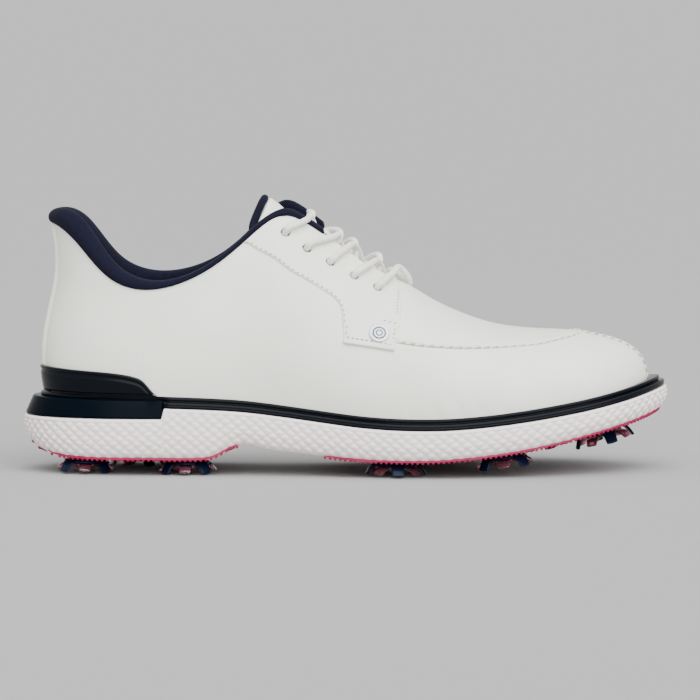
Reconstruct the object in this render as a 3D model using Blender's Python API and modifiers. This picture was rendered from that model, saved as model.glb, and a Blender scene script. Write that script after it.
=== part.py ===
"""Golf shoe for a right foot: a laced leather upper on a foam sole with twist-in cleats.

Frame: +X points to the toe, -Y to the lateral (outer) side, +Z up. The origin is on the ground, under the
middle of the shoe. Tables and sizes are in millimetres, and meshes are made in metres.

The upper's outer surface is skin(w, t, depth). w goes round the foot: 0 at the toe, 1 at the heel by the
lateral side, and on to 2 at the toe again by the medial side. t climbs the wall from 0 at the sole to 1 at
the top edge or, over the toes, at the ridge. depth is measured along the outward normal.
"""

import functools
import math

import bmesh
import bpy
import numpy as np
from mathutils import Matrix, Vector

MM = 0.001
GAP = 0.4  # clear space between neighbouring pieces

# ---- the foot's shape -------------------------------------------------------------------------------------
# One row per station from toe to heel:
# foot of the wall: x, lateral y, medial y | top of the wall: x, half opening, centre y, z, medial rise |
# azimuth and downward slope of the surface at the top | outward lean at the foot | the two curve handles
STATIONS = [
    (142.0, 5.0, 5.0, 111.0, 0.0, 3.0, 66.2, 0.0, 0, 9, 4, 0.48, 0.50),
    (138.0, -8.5, 18.0, 106.0, 0.0, 3.0, 66.9, 0.0, 42, 5, 8, 0.46, 0.52),
    (128.0, -22.0, 29.5, 98.0, 0.0, 3.0, 67.3, 0.0, 66, 1, 12, 0.42, 0.54),
    (112.0, -33.0, 38.5, 88.0, 0.0, 2.0, 67.4, 0.0, 82, 0, 16, 0.38, 0.56),
    (90.0, -41.5, 44.5, 73.0, 0.0, 1.0, 68.8, 0.0, 90, 0, 20, 0.36, 0.56),
    (65.0, -46.5, 45.5, 57.0, 0.0, 0.0, 73.0, 0.0, 90, 0, 20, 0.36, 0.54),
    (42.0, -47.0, 41.5, 41.0, 0.0, 0.0, 80.0, 0.0, 90, 2, 18, 0.38, 0.50),
    (25.0, -46.0, 35.5, 29.0, 1.5, 0.0, 87.0, 0.0, 90, 10, 16, 0.40, 0.44),
    (12.0, -44.0, 31.0, 17.0, 10.0, 0.0, 92.5, 0.0, 90, 32, 15, 0.42, 0.36),
    (-6.0, -40.0, 26.5, 0.0, 11.0, 0.0, 103.5, 0.0, 90, 38, 14, 0.42, 0.34),
    (-26.0, -36.0, 24.5, -19.0, 12.0, 0.0, 116.5, 0.0, 90, 44, 13, 0.40, 0.34),
    (-42.0, -33.5, 25.5, -31.5, 17.0, 0.0, 119.5, 0.5, 92, 58, 12, 0.40, 0.34),
    (-56.0, -32.5, 27.0, -46.0, 22.5, 0.0, 108.8, 1.5, 95, 70, 11, 0.40, 0.34),
    (-73.0, -32.0, 29.0, -64.0, 27.5, 0.0, 95.0, 2.5, 97, 80, 10, 0.40, 0.34),
    (-91.0, -31.0, 29.5, -87.0, 30.0, 0.0, 86.4, 3.0, 98, 84, 10, 0.40, 0.34),
    (-108.0, -28.5, 27.5, -108.0, 27.0, 0.0, 90.3, 2.5, 105, 86, 11, 0.40, 0.34),
    (-123.0, -22.5, 22.0, -122.5, 19.5, 0.0, 104.8, 1.0, 124, 90, 12, 0.42, 0.36),
    (-134.0, -13.0, 13.0, -133.0, 10.5, 0.0, 114.0, 0.0, 150, 95, 13, 0.44, 0.40),
    (-138.5, 0.0, 0.0, -138.3, 0.0, 0.0, 116.5, 0.0, 180, 99, 14, 0.46, 0.44),
]
STEPS = len(STATIONS) - 1
THROAT_W = 0.419  # where the apron ends and the lace opening starts
SEAM = [(20, 61.0), (42, 60.6), (55, 60.4), (75, 61.6), (94, 63.2), (104, 64.9), (112, 66.6)]  # apron seam, x and z

# ---- the sole ---------------------------------------------------------------------------------------------
FOAM_TOP = [(-145, 31.8), (-110, 31.5), (-84, 31.2), (-66, 30.6), (-48, 29.6), (-31, 27.8), (-12, 25.4),
            (7, 23.2), (26, 22.1), (44, 22.1), (63, 23.4), (82, 25.6), (101, 28.4), (120, 31.9), (138, 36.2),
            (150, 39.5)]
FOAM_BOTTOM = [(-152, 19.0), (-147, 14.5), (-139, 10.4), (-126, 8.4), (-110, 8.0), (-90, 8.0), (-68, 8.0),
               (-61, 9.2), (-53, 13.4), (-47, 14.5), (-38, 13.0), (-20, 11.0), (0, 9.0), (20, 8.1), (32, 8.0),
               (46, 8.5), (60, 9.8), (76, 11.8), (92, 14.6), (110, 18.6), (129, 23.4), (142, 27.2), (152, 31.0)]
SOLE_MARGIN = [(-140, 13.0), (-125, 10.5), (-100, 8.0), (-60, 6.5), (40, 6.5), (100, 6.5), (130, 8.0), (142, 9.5)]
WEDGE_FRONT_X = -86.0
WEDGE_BASE_Z = 26.8
STABILIZER_TOP = [(-142, 49.6), (-130, 48.8), (-115, 47.6), (-106, 47.0), (-98, 45.0), (-92, 41.4), (-86.5, 37.6)]
WELT_HEIGHT = 5.6
OUTSOLE_INSET = 3.2
OUTSOLE_THICK = 1.2

# ---- cleats: name, x, y, turn of the navy legs ------------------------------------------------------------
CLEATS = [
    ("heel_lateral_rear", -121.0, -15.5, 45),
    ("heel_lateral_front", -73.5, -21.0, 40),
    ("heel_medial", -97.0, 17.5, 20),
    ("fore_lateral_rear", 23.5, -33.5, 4),
    ("fore_medial_rear", 43.0, 27.5, 30),
    ("fore_lateral_front", 73.0, -31.0, 42),
    ("fore_medial_front", 92.0, 26.5, 15),
    ("toe", 120.0, 1.5, 12),
]
CLEAT_REACH = 6.0  # from a cleat's upper face to its leg tips
SIDES = 12

# ---- closure ----------------------------------------------------------------------------------------------
EYELETS = [(-28.0, 112.0), (-18.1, 104.6), (-7.3, 98.2), (3.8, 91.8), (14.6, 86.3)]  # x and z, top to bottom
LACE_R = 1.75
EYELET_R = 2.7
LACE_OVER = 4.5  # the lace's centre over the eyestays
LACE_UNDER = -3.85  # and under the side panels
CROSSING_HIGH, CROSSING_LOW = 5.3, 1.4  # the strands' centres over the line of the throat's edges
EYESTAY_LOW, EYESTAY_HIGH = 0.85, 1.9
EYESTAY_REAR = [(-46.8, 108.6), (-38.8, 104.6), (-27.0, 97.4), (-17.2, 91.6), (-10.6, 88.0), (-4.9, 84.6),
                (-1.8, 80.6), (-1.0, 75.0), (-0.8, 67.5), (-0.9, 61.8)]
EYESTAY_FRONT = [(25.4, 82.5), (25.8, 75.5), (25.0, 68.0), (23.4, 58.9)]
BUTTON = (15.9, 67.4)
BUTTON_R = 4.6
BUTTON_POST_R = 1.4
TONGUE_SPINE = [(40, 77.2), (34, 80.4), (28, 83.4), (17, 89.0), (0, 100.4), (-14, 110.3), (-25, 119.1),
                (-32, 124.9), (-38, 128.9)]
TONGUE_ARCH = 0.0490
TONGUE_PIVOT = (39.0, 0.0, 76.0)

for old in list(bpy.data.objects):
    bpy.data.objects.remove(old, do_unlink=True)


# ---- curves -----------------------------------------------------------------------------------------------
def spline(points):
    """A natural cubic through (key, value, ...) points, as a function of the key."""
    keys = np.array([p[0] for p in points], float)
    values = np.array([p[1:] for p in points], float)
    if keys[0] > keys[-1]:
        keys, values = keys[::-1], values[::-1]
    count, step = len(keys), np.diff(keys)
    system, right = np.eye(count), np.zeros_like(values)
    for i in range(1, count - 1):
        system[i, i - 1 : i + 2] = step[i - 1], 2 * (step[i - 1] + step[i]), step[i]
        right[i] = 6 * ((values[i + 1] - values[i]) / step[i] - (values[i] - values[i - 1]) / step[i - 1])
    bend = np.linalg.solve(system, right)

    def at(key):
        key = min(max(key, keys[0]), keys[-1])
        i = int(min(max(np.searchsorted(keys, key) - 1, 0), count - 2))
        a = (keys[i + 1] - key) / step[i]
        b = 1 - a
        value = a * values[i] + b * values[i + 1]
        value = value + ((a**3 - a) * bend[i] + (b**3 - b) * bend[i + 1]) * step[i] ** 2 / 6
        return float(value[0]) if len(value) == 1 else value

    return at


def closed_spline(values):
    """A cubic through evenly keyed values that repeat, as a function of the key 0..len(values)."""
    values = np.array(values, float)
    count = len(values)
    system = 4 * np.eye(count) + np.roll(np.eye(count), 1, 0) + np.roll(np.eye(count), -1, 0)
    right = 6 * (np.roll(values, -1, 0) - 2 * values + np.roll(values, 1, 0))
    bend = np.linalg.solve(system, right)

    def at(key):
        key = key % count
        i = int(key)
        j = (i + 1) % count
        b = key - i
        a = 1 - b
        return a * values[i] + b * values[j] + ((a**3 - a) * bend[i] + (b**3 - b) * bend[j]) / 6

    return at


# ---- the upper's surface ----------------------------------------------------------------------------------
def station_loop():
    """The stations in one closed loop: down the lateral side to the heel and back up the medial side."""
    lateral = [
        (r[0], r[1], r[3], r[5] - r[4], r[6], -r[8]) + r[9:] for r in STATIONS
    ]
    medial = [
        (r[0], r[2], r[3], r[5] + r[4], r[6] + r[7], r[8] - 360) + r[9:] for r in STATIONS[-2:0:-1]
    ]
    loop = np.array(lateral + medial, float)
    loop[:, 5] += np.arange(len(loop)) * 360 / len(loop)  # so that the azimuth repeats like the rest
    return loop


LOOP = closed_spline(station_loop())
foam_top = spline(FOAM_TOP)
foam_bottom = spline(FOAM_BOTTOM)
sole_margin = spline(SOLE_MARGIN)
seam_z = spline(SEAM)


def unit(v):
    return v / np.linalg.norm(v)


@functools.lru_cache(None)
def station(w):
    values = LOOP((w % 2) * STEPS).copy()
    values[5] -= (w % 2) * STEPS * 360 / (2 * STEPS)
    return values


@functools.lru_cache(None)
def outward(w):
    """Horizontal normal of the wall's foot."""
    a, b = station(w - 0.002), station(w + 0.002)
    return unit(np.array([a[1] - b[1], b[0] - a[0], 0.0]))


@functools.lru_cache(None)
def wall(w):
    """The four control points of the wall's curve at w, from the sole to the top."""
    x0, y0, x1, y1, z1, azimuth, slope, lean, low, high = station(w)
    foot = np.array([x0, y0, foam_top(x0) + 0.3])
    top = np.array([x1, y1, z1])
    reach = np.linalg.norm(top - foot)
    azimuth, slope, lean = (math.radians(v) for v in (azimuth, slope, lean))
    rise = outward(w) * math.sin(lean) + np.array([0, 0, math.cos(lean)])
    fall = np.array(
        [math.cos(azimuth) * math.cos(slope), math.sin(azimuth) * math.cos(slope), -math.sin(slope)]
    )
    return foot, foot + rise * low * reach, top + fall * high * reach, top


@functools.lru_cache(None)
def last(w, t):
    a, b, c, d = wall(w)
    s = 1 - t
    return s**3 * a + 3 * s * s * t * b + 3 * s * t * t * c + t**3 * d


@functools.lru_cache(None)
def normal(w, t):
    e = 0.004
    t = min(max(t, 0.01), 0.985)
    along = last(w + e, t) - last(w - e, t)
    up = last(w, t + e) - last(w, t - e)
    return unit(np.cross(up, along))


def skin(w, t, depth=0.0):
    return last(w, t) + normal(w, t) * depth


@functools.lru_cache(None)
def w_at(x):
    """The lateral w whose wall stands on the sole at x."""
    low, high = 0.0, 1.0
    for _ in range(40):
        mid = (low + high) / 2
        low, high = (mid, high) if station(mid)[0] > x else (low, mid)
    return low


@functools.lru_cache(None)
def t_at(w, z):
    """The lowest t at which the wall reaches height z."""
    for k in range(1, 201):
        if last(w, k / 200)[2] >= z:
            break
    a, b = last(w, (k - 1) / 200)[2], last(w, k / 200)[2]
    return (k - 1 + min(max((z - a) / (b - a), 0), 1)) / 200


@functools.lru_cache(None)
def find(x, z):
    """(w, t) of the lateral wall's point at x and z, by Newton's method."""
    v = np.array([w_at(x), 0.7])
    for _ in range(30):
        here = last(*v)[[0, 2]] - (x, z)
        e = 1e-4
        slope = np.column_stack(
            [(last(v[0] + e, v[1])[[0, 2]] - last(*v)[[0, 2]]) / e, (last(v[0], v[1] + e)[[0, 2]] - last(*v)[[0, 2]]) / e]
        )
        v = v - np.clip(np.linalg.solve(slope, here), -0.05, 0.05)
        v[1] = min(max(v[1], 0.0), 1.0)
    return float(v[0]), float(v[1])


@functools.lru_cache(None)
def seam_t(w):
    """t of the apron's seam at w: 1 at the toe, where it meets the ridge."""
    for k in range(60, 401):
        x, _, z = last(w, k / 400)
        if z >= seam_z(x):
            return k / 400
    return 1.0


# ---- meshes -----------------------------------------------------------------------------------------------
def make_collection(name):
    made = bpy.data.collections.new(name)
    bpy.context.scene.collection.children.link(made)
    return made


PARTS = make_collection("golf_shoe")
CUTTERS = make_collection("cutters")
FINISHES = {
    "leather": ((0.79, 0.79, 0.76), 0.45, 0),
    "knit": ((0.015, 0.016, 0.05), 0.9, 0),
    "foam": ((0.79, 0.75, 0.75), 0.6, 0),
    "gloss": ((0.006, 0.013, 0.022), 0.2, 0),
    "rubber": ((0.58, 0.035, 0.12), 0.5, 0),
    "lace": ((0.80, 0.79, 0.77), 0.85, 0),
    "cleat": ((0.008, 0.02, 0.07), 0.35, 0),
    "clear": ((0.42, 0.20, 0.24), 0.2, 0),
    "metal": ((0.62, 0.65, 0.70), 0.3, 1),
    "board": ((0.42, 0.34, 0.25), 0.8, 0),
    "steel": ((0.45, 0.45, 0.47), 0.35, 1),
    "plastic": ((0.08, 0.08, 0.09), 0.5, 0),
}


@functools.lru_cache(None)
def material(name):
    colour, roughness, metallic = FINISHES[name]
    made = bpy.data.materials.new(name)
    made.use_nodes = True
    shader = made.node_tree.nodes["Principled BSDF"]
    shader.inputs["Base Color"].default_value = (*colour, 1)
    shader.inputs["Roughness"].default_value = roughness
    shader.inputs["Metallic"].default_value = metallic
    made.diffuse_color = (*colour, 1)
    return made


def add_object(name, points, faces, finish, origin=(0, 0, 0), smooth=40):
    """A mesh object from points in millimetres; its origin, in millimetres too, is where its joint turns."""
    mesh = bpy.data.meshes.new(name)
    home = np.array(origin, float)
    mesh.from_pydata([tuple((np.array(p) - home) * MM) for p in points], [], faces)
    shaped = bmesh.new()
    shaped.from_mesh(mesh)
    bmesh.ops.delete(shaped, geom=[v for v in shaped.verts if not v.link_faces], context="VERTS")
    bmesh.ops.recalc_face_normals(shaped, faces=shaped.faces)
    if shaped.calc_volume(signed=True) < 0:
        bmesh.ops.reverse_faces(shaped, faces=shaped.faces)
    shaped.to_mesh(mesh)
    shaped.free()
    mesh.shade_smooth()
    mesh.set_sharp_from_angle(angle=math.radians(smooth))
    made = bpy.data.objects.new(name, mesh)
    made.location = home * MM
    made.data.materials.append(material(finish))
    PARTS.objects.link(made)
    return made


def grid_faces(rows, columns, wrap_rows=False, wrap_columns=False, start=0):
    faces = []
    for i in range(rows if wrap_rows else rows - 1):
        for j in range(columns if wrap_columns else columns - 1):
            k, m = (i + 1) % rows, (j + 1) % columns
            faces.append(tuple(start + v for v in (i * columns + j, i * columns + m, k * columns + m, k * columns + j)))
    return faces


def sheet(name, outer, inner, finish, keep=None, **options):
    """A closed sheet between two grids of points that match; keep(row, column) says which cells exist."""
    rows, columns = len(outer), len(outer[0])
    size = rows * columns
    points = [p for row in outer for p in row] + [p for row in inner for p in row]
    top = [f for f in grid_faces(rows, columns) if keep is None or keep(*divmod(f[0], columns))]
    sides = {(f[i], f[(i + 1) % 4]) for f in top for i in range(4)}
    rim = [(b, a, size + a, size + b) for a, b in sorted(sides) if (b, a) not in sides]
    faces = top + [tuple(size + v for v in reversed(f)) for f in top] + rim
    return add_object(name, points, faces, finish, **options)


def panel(name, grid, low, high, finish, keep=None):
    """A sheet that follows the upper's surface, from depth low to depth high, over a grid of (w, t)."""
    return sheet(
        name,
        [[skin(w, t, high) for w, t in row] for row in grid],
        [[skin(w, t, low) for w, t in row] for row in grid],
        finish,
        keep,
    )


def tier_solid(name, tiers, finish, **options):
    """A solid from tiers of points round an outline. Its ends are closed by strips across, from each point
    to its mirror point on the other side."""
    count = len(tiers[0])
    points = [p for tier in tiers for p in tier]
    faces = grid_faces(len(tiers), count, wrap_columns=True)
    for start in (0, (len(tiers) - 1) * count):
        for i in range(count // 2 - 1):
            j = count - 1 - i
            faces.append(tuple(start + v for v in (i, i + 1, j - 1, j)))
    return add_object(name, points, faces, finish, **options)


def swept_solid(name, sections, finish, closed=False, **options):
    """A solid through matching closed sections, capped at both ends unless it closes on itself."""
    count = len(sections[0])
    points = [p for section in sections for p in section]
    faces = grid_faces(len(sections), count, wrap_rows=closed, wrap_columns=True)
    if not closed:
        faces += [tuple(range(count)), tuple(range(len(points) - count, len(points)))]
    return add_object(name, points, faces, finish, **options)


def cut(target, cutter):
    modifier = target.modifiers.new("cut", "BOOLEAN")
    modifier.operation = "DIFFERENCE"
    modifier.object = cutter


def cylinder_cutter(name, axes, radius, low, high, sides=10):
    """One cutter object of cylinders, each from low to high along its (point, direction)."""
    shaped = bmesh.new()
    for point, direction in axes:
        turn = Vector(direction).to_track_quat("Z", "Y").to_matrix().to_4x4()
        middle = Matrix.Translation(Vector(np.array(point) + np.array(direction) * (low + high) / 2) * MM)
        bmesh.ops.create_cone(
            shaped, cap_ends=True, segments=sides, radius1=radius * MM, radius2=radius * MM,
            depth=(high - low) * MM, matrix=middle @ turn,
        )
    mesh = bpy.data.meshes.new(name)
    shaped.to_mesh(mesh)
    shaped.free()
    made = bpy.data.objects.new(name, mesh)
    made.hide_render = True
    made.display_type = "WIRE"
    CUTTERS.objects.link(made)
    return made


def spaced(low, high, count):
    return [float(v) for v in np.linspace(low, high, count)]


# ---- sole pieces ------------------------------------------------------------------------------------------
def edge(w, inset, z):
    """A point inset from the sole's edge at w; z is a height or a function of x."""
    x0, y0 = station(w)[:2]
    spot = np.array([x0, y0, 0.0]) + outward(w) * (sole_margin(x0) - inset)
    spot[2] = z(spot[0]) if callable(z) else z
    return spot


def both_sides(ws):
    return list(ws) + [2 - w for w in reversed(ws)]


SOLE_WS = [0.012, 0.04, 0.08, 0.12, 0.17, 0.22, 0.28, 0.34, 0.40, 0.46, 0.52, 0.58, 0.64, 0.70]
HEEL_WS = [0.80, 0.84, 0.88, 0.92, 0.96, 0.988]


def build_midsole():
    step = w_at(WEDGE_FRONT_X)
    ws = both_sides(SOLE_WS + [0.735, step - 0.003, step + 0.003] + HEEL_WS)

    def top(w):
        return WEDGE_BASE_Z - GAP if step < w < 2 - step else None

    def tier(inset, lift, share):
        """Points at a share of the way from the underside to the top, plus a lift."""
        made = []
        for w in ws:
            spot = edge(w, inset, 0)
            low, high = foam_bottom(spot[0]), top(w) or foam_top(spot[0])
            spot[2] = low + (high - low) * share + lift
            made.append(spot)
        return made

    tiers = [tier(4.2, 0, 0), tier(1.6, 1.2, 0), tier(0.3, 0, 0.35), tier(0, 0, 0.62), tier(0.8, 0, 0.92), tier(1.3, 0, 1)]
    return tier_solid("midsole", tiers, "foam")


def build_outsole(name, ws):
    def tier(drop):
        return [edge(w, OUTSOLE_INSET + 1.2, lambda x: foam_bottom(x) - drop) for w in ws]

    return tier_solid(name, [tier(GAP), tier(GAP + OUTSOLE_THICK)], "rubber")


def build_wedge():
    step = w_at(WEDGE_FRONT_X) + 0.003
    ws = both_sides([step] + HEEL_WS)
    low = [edge(w, 1.2, WEDGE_BASE_Z) for w in ws]
    middle = [edge(w, 1.6, WEDGE_BASE_Z + 1.6) for w in ws]
    high = [edge(w, 3.2, lambda x: foam_top(x) - 0.1) for w in ws]
    return tier_solid("heel_wedge", [low, middle, high], "gloss")


def welt_section(w):
    """The welt's two lips: a wide lower one on the foam and a narrow upper one against the upper."""
    x0 = station(w)[0]
    base = foam_top(x0) + 0.3
    heel = min(max((WEDGE_FRONT_X + 4 - x0) / 8, 0), 1)
    inner = [skin(w, t_at(w, base + h), GAP + 0.1) for h in (0.0, WELT_HEIGHT)]
    inner[0][2] = base
    wide, narrow = 1.6 + 1.6 * heel, 4.0 + 1.4 * heel
    return [
        inner[0],
        edge(w, wide, lambda x: foam_top(x) + 0.3),
        edge(w, wide + 0.6 * heel, lambda x: foam_top(x) + 3.2),
        edge(w, narrow, lambda x: foam_top(x) + 3.9),
        edge(w, narrow + 0.2, lambda x: foam_top(x) + WELT_HEIGHT),
        inner[1],
    ]


def build_welt():
    ws = both_sides([w for w in PANEL_WS if w != THROAT_WS[0]])
    return swept_solid("welt", [welt_section(w) for w in ws], "gloss", closed=True)


def build_stabilizer():
    top = spline(STABILIZER_TOP)
    ws = both_sides([0.748] + PANEL_WS[PANEL_WS.index(0.77) :])
    grid = []
    for w in ws:
        x0 = station(w)[0]
        low = t_at(w, foam_top(x0) + WELT_HEIGHT + 1.0)
        grid.append([(w, low + (t_at(w, top(x0)) - low) * k / 3) for k in range(4)])
    return panel("heel_stabilizer", grid, GAP, 2.0, "gloss")


# ---- upper pieces -----------------------------------------------------------------------------------------
THROAT_WS = (0.4170, 0.4200)
PANEL_WS = [0.0016, 0.04, 0.08, 0.12, 0.16, 0.20, 0.25, 0.30, 0.345, 0.385, *THROAT_WS, 0.45, 0.48, 0.51, 0.545,
            0.58, 0.615, 0.65, 0.69, 0.73, 0.77, 0.81, 0.85, 0.885, 0.915, 0.945, 0.97, 0.9895]
LOWER_SHARES = (0, 0.22, 0.46, 0.72, 1)  # of the wall below the apron's seam
UPPER_SHARES = (0, 0.28, 0.52, 0.75, 1)  # of the wall above it
SEAM_GAP = 0.006  # as a share of the wall's height


def mirrored(grid, side):
    return grid if side == "lateral" else [[(2 - w, t) for w, t in row] for row in grid]


def build_side_panel(side):
    """All of the wall behind the throat, and the wall below the apron's seam in front of it."""
    grid = []
    for w in PANEL_WS:
        seam = seam_t(w) - SEAM_GAP if w < THROAT_W else seam_t(THROAT_W)
        grid.append([(w, share * seam) for share in LOWER_SHARES]
                    + [(w, seam + share * (1 - seam)) for share in UPPER_SHARES[1:]])
    throat = PANEL_WS.index(THROAT_WS[1])
    made = panel("side_panel_" + side, mirrored(grid, side), -1.4, 0, "leather",
                 lambda i, j: i >= throat or j < len(LOWER_SHARES) - 1)
    cut(made, eyelet_cutter(side))
    if side == "lateral":
        cut(made, button_cutter())
    return made


def build_apron():
    """The toe's top piece: from one seam over the ridge to the other, narrowing to the toe."""
    ws = [0.022, 0.05, 0.085, 0.12, 0.16, 0.20, 0.25, 0.30, 0.345, 0.385, 0.4150]
    grid_out, grid_in = [], []
    for w in ws:
        low = [seam_t(w) + SEAM_GAP + (1 - seam_t(w) - SEAM_GAP) * k for k in UPPER_SHARES]
        row = [(w, t) for t in low[:-1]] + [None] + [(2 - w, t) for t in reversed(low[:-1])]
        ridge = (last(w, 1) + last(2 - w, 1)) / 2
        up = unit(normal(w, 1) + normal(2 - w, 1))
        grid_out.append([skin(*p) if p else ridge for p in row])
        grid_in.append([skin(*p, -1.4) if p else ridge - up * 1.4 for p in row])
    return sheet("apron", grid_out, grid_in, "leather")


@functools.lru_cache(None)
def eyelet(index, side):
    """A hole's centre on the base panel and its outward direction."""
    w, t = find(*EYELETS[index])
    w = w if side == "lateral" else 2 - w
    return skin(w, t), normal(w, t)


@functools.lru_cache(None)
def button_axis():
    w, t = find(*BUTTON)
    return skin(w, t), normal(w, t)


@functools.lru_cache(None)
def button_cutter():
    return cylinder_cutter("button_hole", [button_axis()], BUTTON_POST_R + GAP, -6, 6)


@functools.lru_cache(None)
def eyelet_cutter(side):
    return cylinder_cutter("eyelet_holes_" + side, [eyelet(i, side) for i in range(5)], EYELET_R, -6, 6)


def halved(points):
    """The points with the middle of each step between them."""
    curve = spline([(i, *p) for i, p in enumerate(points)])
    return [tuple(float(v) for v in curve(k / 2)) for k in range(2 * len(points) - 1)]


def build_eyestay(side):
    """Its rear edge and bottom corner on one side of the grid, the throat edge and front edge on the other."""
    rear = [find(*p) for p in EYESTAY_REAR]
    collar = find(*EYESTAY_REAR[0])[0] + 0.006
    throat = [(w, 1.0) for w in spaced(collar, 0.4165, 7)]
    front = throat + [find(*p) for p in EYESTAY_FRONT[1:]]
    rear, front = halved(rear), halved(front)
    grid = [
        [(a[0] + (b[0] - a[0]) * k / 5, a[1] + (b[1] - a[1]) * k / 5) for k in range(6)] for a, b in zip(rear, front)
    ]
    made = panel("eyestay_" + side, mirrored(grid, side), EYESTAY_LOW, EYESTAY_HIGH, "leather")
    if side == "lateral":
        cut(made, button_cutter())
    cut(made, eyelet_cutter(side))
    return made


def build_heel_strip():
    ws = [0.9935, 1.0, 1.0065]
    low = t_at(1.0, 50.6)
    grid = [[(w, low + (0.997 - low) * k / 7) for k in range(8)] for w in ws]
    return panel("heel_strip", grid, -1.2, 0.7, "leather")


def build_lining(side):
    """Textile inside the side panel. It leaves the lace holes free and stops below the padded collar."""
    def high(w):
        return 0.985 if w < 0.315 else 0.64

    ws = [w for w in PANEL_WS if w not in (0.04, THROAT_WS[0])]
    grid = [[(w, 0.02 + (high(w) - 0.02) * k / 5) for k in range(6)] for w in ws]
    return panel("lining_" + side, mirrored(grid, side), -4.2, -3.4, "knit")


def build_stiffeners():
    """The toe puff and the heel counter, between the leather and the lining."""
    around_toe = [-0.12, -0.08, -0.04, -0.0016, 0.0016, 0.04, 0.08, 0.12]
    around_heel = both_sides(PANEL_WS[PANEL_WS.index(0.85) :])
    toe = [[(w, 0.03 + 0.62 * k / 4) for k in range(5)] for w in around_toe]
    heel = [[(w, 0.04 + 0.56 * k / 4) for k in range(5)] for w in around_heel]
    panel("toe_puff", toe, -2.9, -2.3, "board")
    panel("heel_counter", heel, -2.7, -2.1, "board")


BEAD = [(-1.3, 0.7), (-0.9, 0.7), (0.3, 0.7), (0.9, 1.3), (0.4, 2.2), (-0.4, 2.6), (-1.2, 2.2), (-1.6, 1.5),
        (-1.6, 0.8)]


COLLAR_RISE = spline([(-139, 8.6), (-123, 10.4), (-108, 9.4), (-96, 6.4), (-84, 4.2), (-64, 3.2), (-8, 3.2)])
COLLAR_PAD = spline([(-139, 6.0), (-110, 6.0), (-87, 5.0), (-64, 3.4), (-44, 1.2), (-8, 0.8)])
COLLAR_DEPTH = spline([(-139, 20), (-87, 18), (-64, 14), (-46, 7), (-34, 3.0), (-8, 3.0)])


def collar_section(w):
    """A slim bead along the throat's edge that grows into a padded roll round the collar, with a pad inside."""
    x = last(w, 1)[0]
    rise, pad, depth = COLLAR_RISE(x), COLLAR_PAD(x), COLLAR_DEPTH(x)
    t = 1 - depth * 0.1 / np.linalg.norm(last(w, 1) - last(w, 0.9))
    top, out = last(w, 1), normal(w, 1)
    up = unit(last(w, 1) - last(w, 0.99))
    inside = -1.4 - GAP - 0.2
    padded = [
        skin(w, t, inside),
        top + out * inside + up * GAP,
        top + out * 0.4 + up * GAP,
        top + out * (0.8 + 0.10 * rise) + up * (GAP + rise * 0.45),
        top + out * (-0.6 - 0.10 * pad) + up * (GAP + rise * 0.95),
        top + out * (-1.2 - 0.55 * pad) + up * (GAP + rise),
        top + out * (inside - pad) + up * rise * 0.45,
        top + out * (inside - pad) - up * depth * 0.35,
        skin(w, t, inside - pad * 0.6),
    ]
    share = min(max((min(w, 2 - w) - 0.60) / 0.05, 0), 1)
    bead = [top + out * a + up * b for a, b in BEAD]
    return [a + (b - a) * share for a, b in zip(bead, padded)]


def build_collar():
    ws = both_sides([0.528] + PANEL_WS[PANEL_WS.index(0.545) :])
    return swept_solid("collar_pad", [collar_section(w) for w in ws], "knit")


# ---- inside the shoe --------------------------------------------------------------------------------------
def inside_tiers(inset, heights):
    """Tiers for a flat piece inside the upper: inset from the wall's foot, at heights over the sole."""
    ws = both_sides([0.012, 0.05, 0.09, 0.13, 0.18, 0.24, 0.31, 0.38, 0.45, 0.52, 0.60, 0.68, 0.76, 0.84, 0.90,
                     0.95, 0.985])
    tiers = []
    for extra, height in heights:
        tier = []
        for w in ws:
            x0, y0 = station(w)[:2]
            spot = np.array([x0, y0, 0.0]) - outward(w) * (inset + extra)
            spot[2] = foam_top(spot[0]) + height
            tier.append(spot)
        tiers.append(tier)
    return tiers


def build_inside():
    tier_solid("insole_board", inside_tiers(5.8, [(0, 2.2), (0, 4.0)]), "board")
    tiers = inside_tiers(7.4, [(1.0, 4.4), (0.2, 5.4), (0.0, 9.4), (2.2, 8.8)])
    tier_solid("footbed", tiers, "knit", origin=FOOTBED_PIVOT)
    ws = [-70, -50, -30, -10, 8]
    outer = [[np.array([x, y, foam_top(x) + 1.8]) for y in (-8, 8)] for x in ws]
    inner = [[np.array([x, y, foam_top(x) + 0.6]) for y in (-8, 8)] for x in ws]
    sheet("shank", outer, inner, "steel")


FOOTBED_PIVOT = (132.0, 4.0, foam_top(132.0) + 4.4)

# ---- tongue -----------------------------------------------------------------------------------------------
spine_curve = spline([(i, *p) for i, p in enumerate(TONGUE_SPINE)])
SPINE_END = len(TONGUE_SPINE) - 1


def tongue_point(a, y, depth):
    """A point of the tongue: a runs 0..1 from its root to its tip, y across, depth below its face."""
    x, z = spine_curve(a * SPINE_END)
    ahead, behind = spine_curve((a + 0.02) * SPINE_END), spine_curve((a - 0.02) * SPINE_END)
    way = unit(ahead - behind)
    up = np.array([way[1], -way[0]])
    flare = 1 + 0.4 * max(0, (a - 0.7) / 0.3) ** 2
    side = abs(y)
    drop = (TONGUE_ARCH * side * side if side < 11 else TONGUE_ARCH * 121 + 0.98 * (side - 11)) * flare
    return np.array([x - up[0] * (drop + depth), y - 0.04 * y * depth, z - up[1] * (drop + depth)])


def tongue_half(a):
    """Half the width of the tongue's face."""
    return 12.7 if a < 0.7 else 12.7 - 1.2 * (a - 0.7) / 0.3


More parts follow.
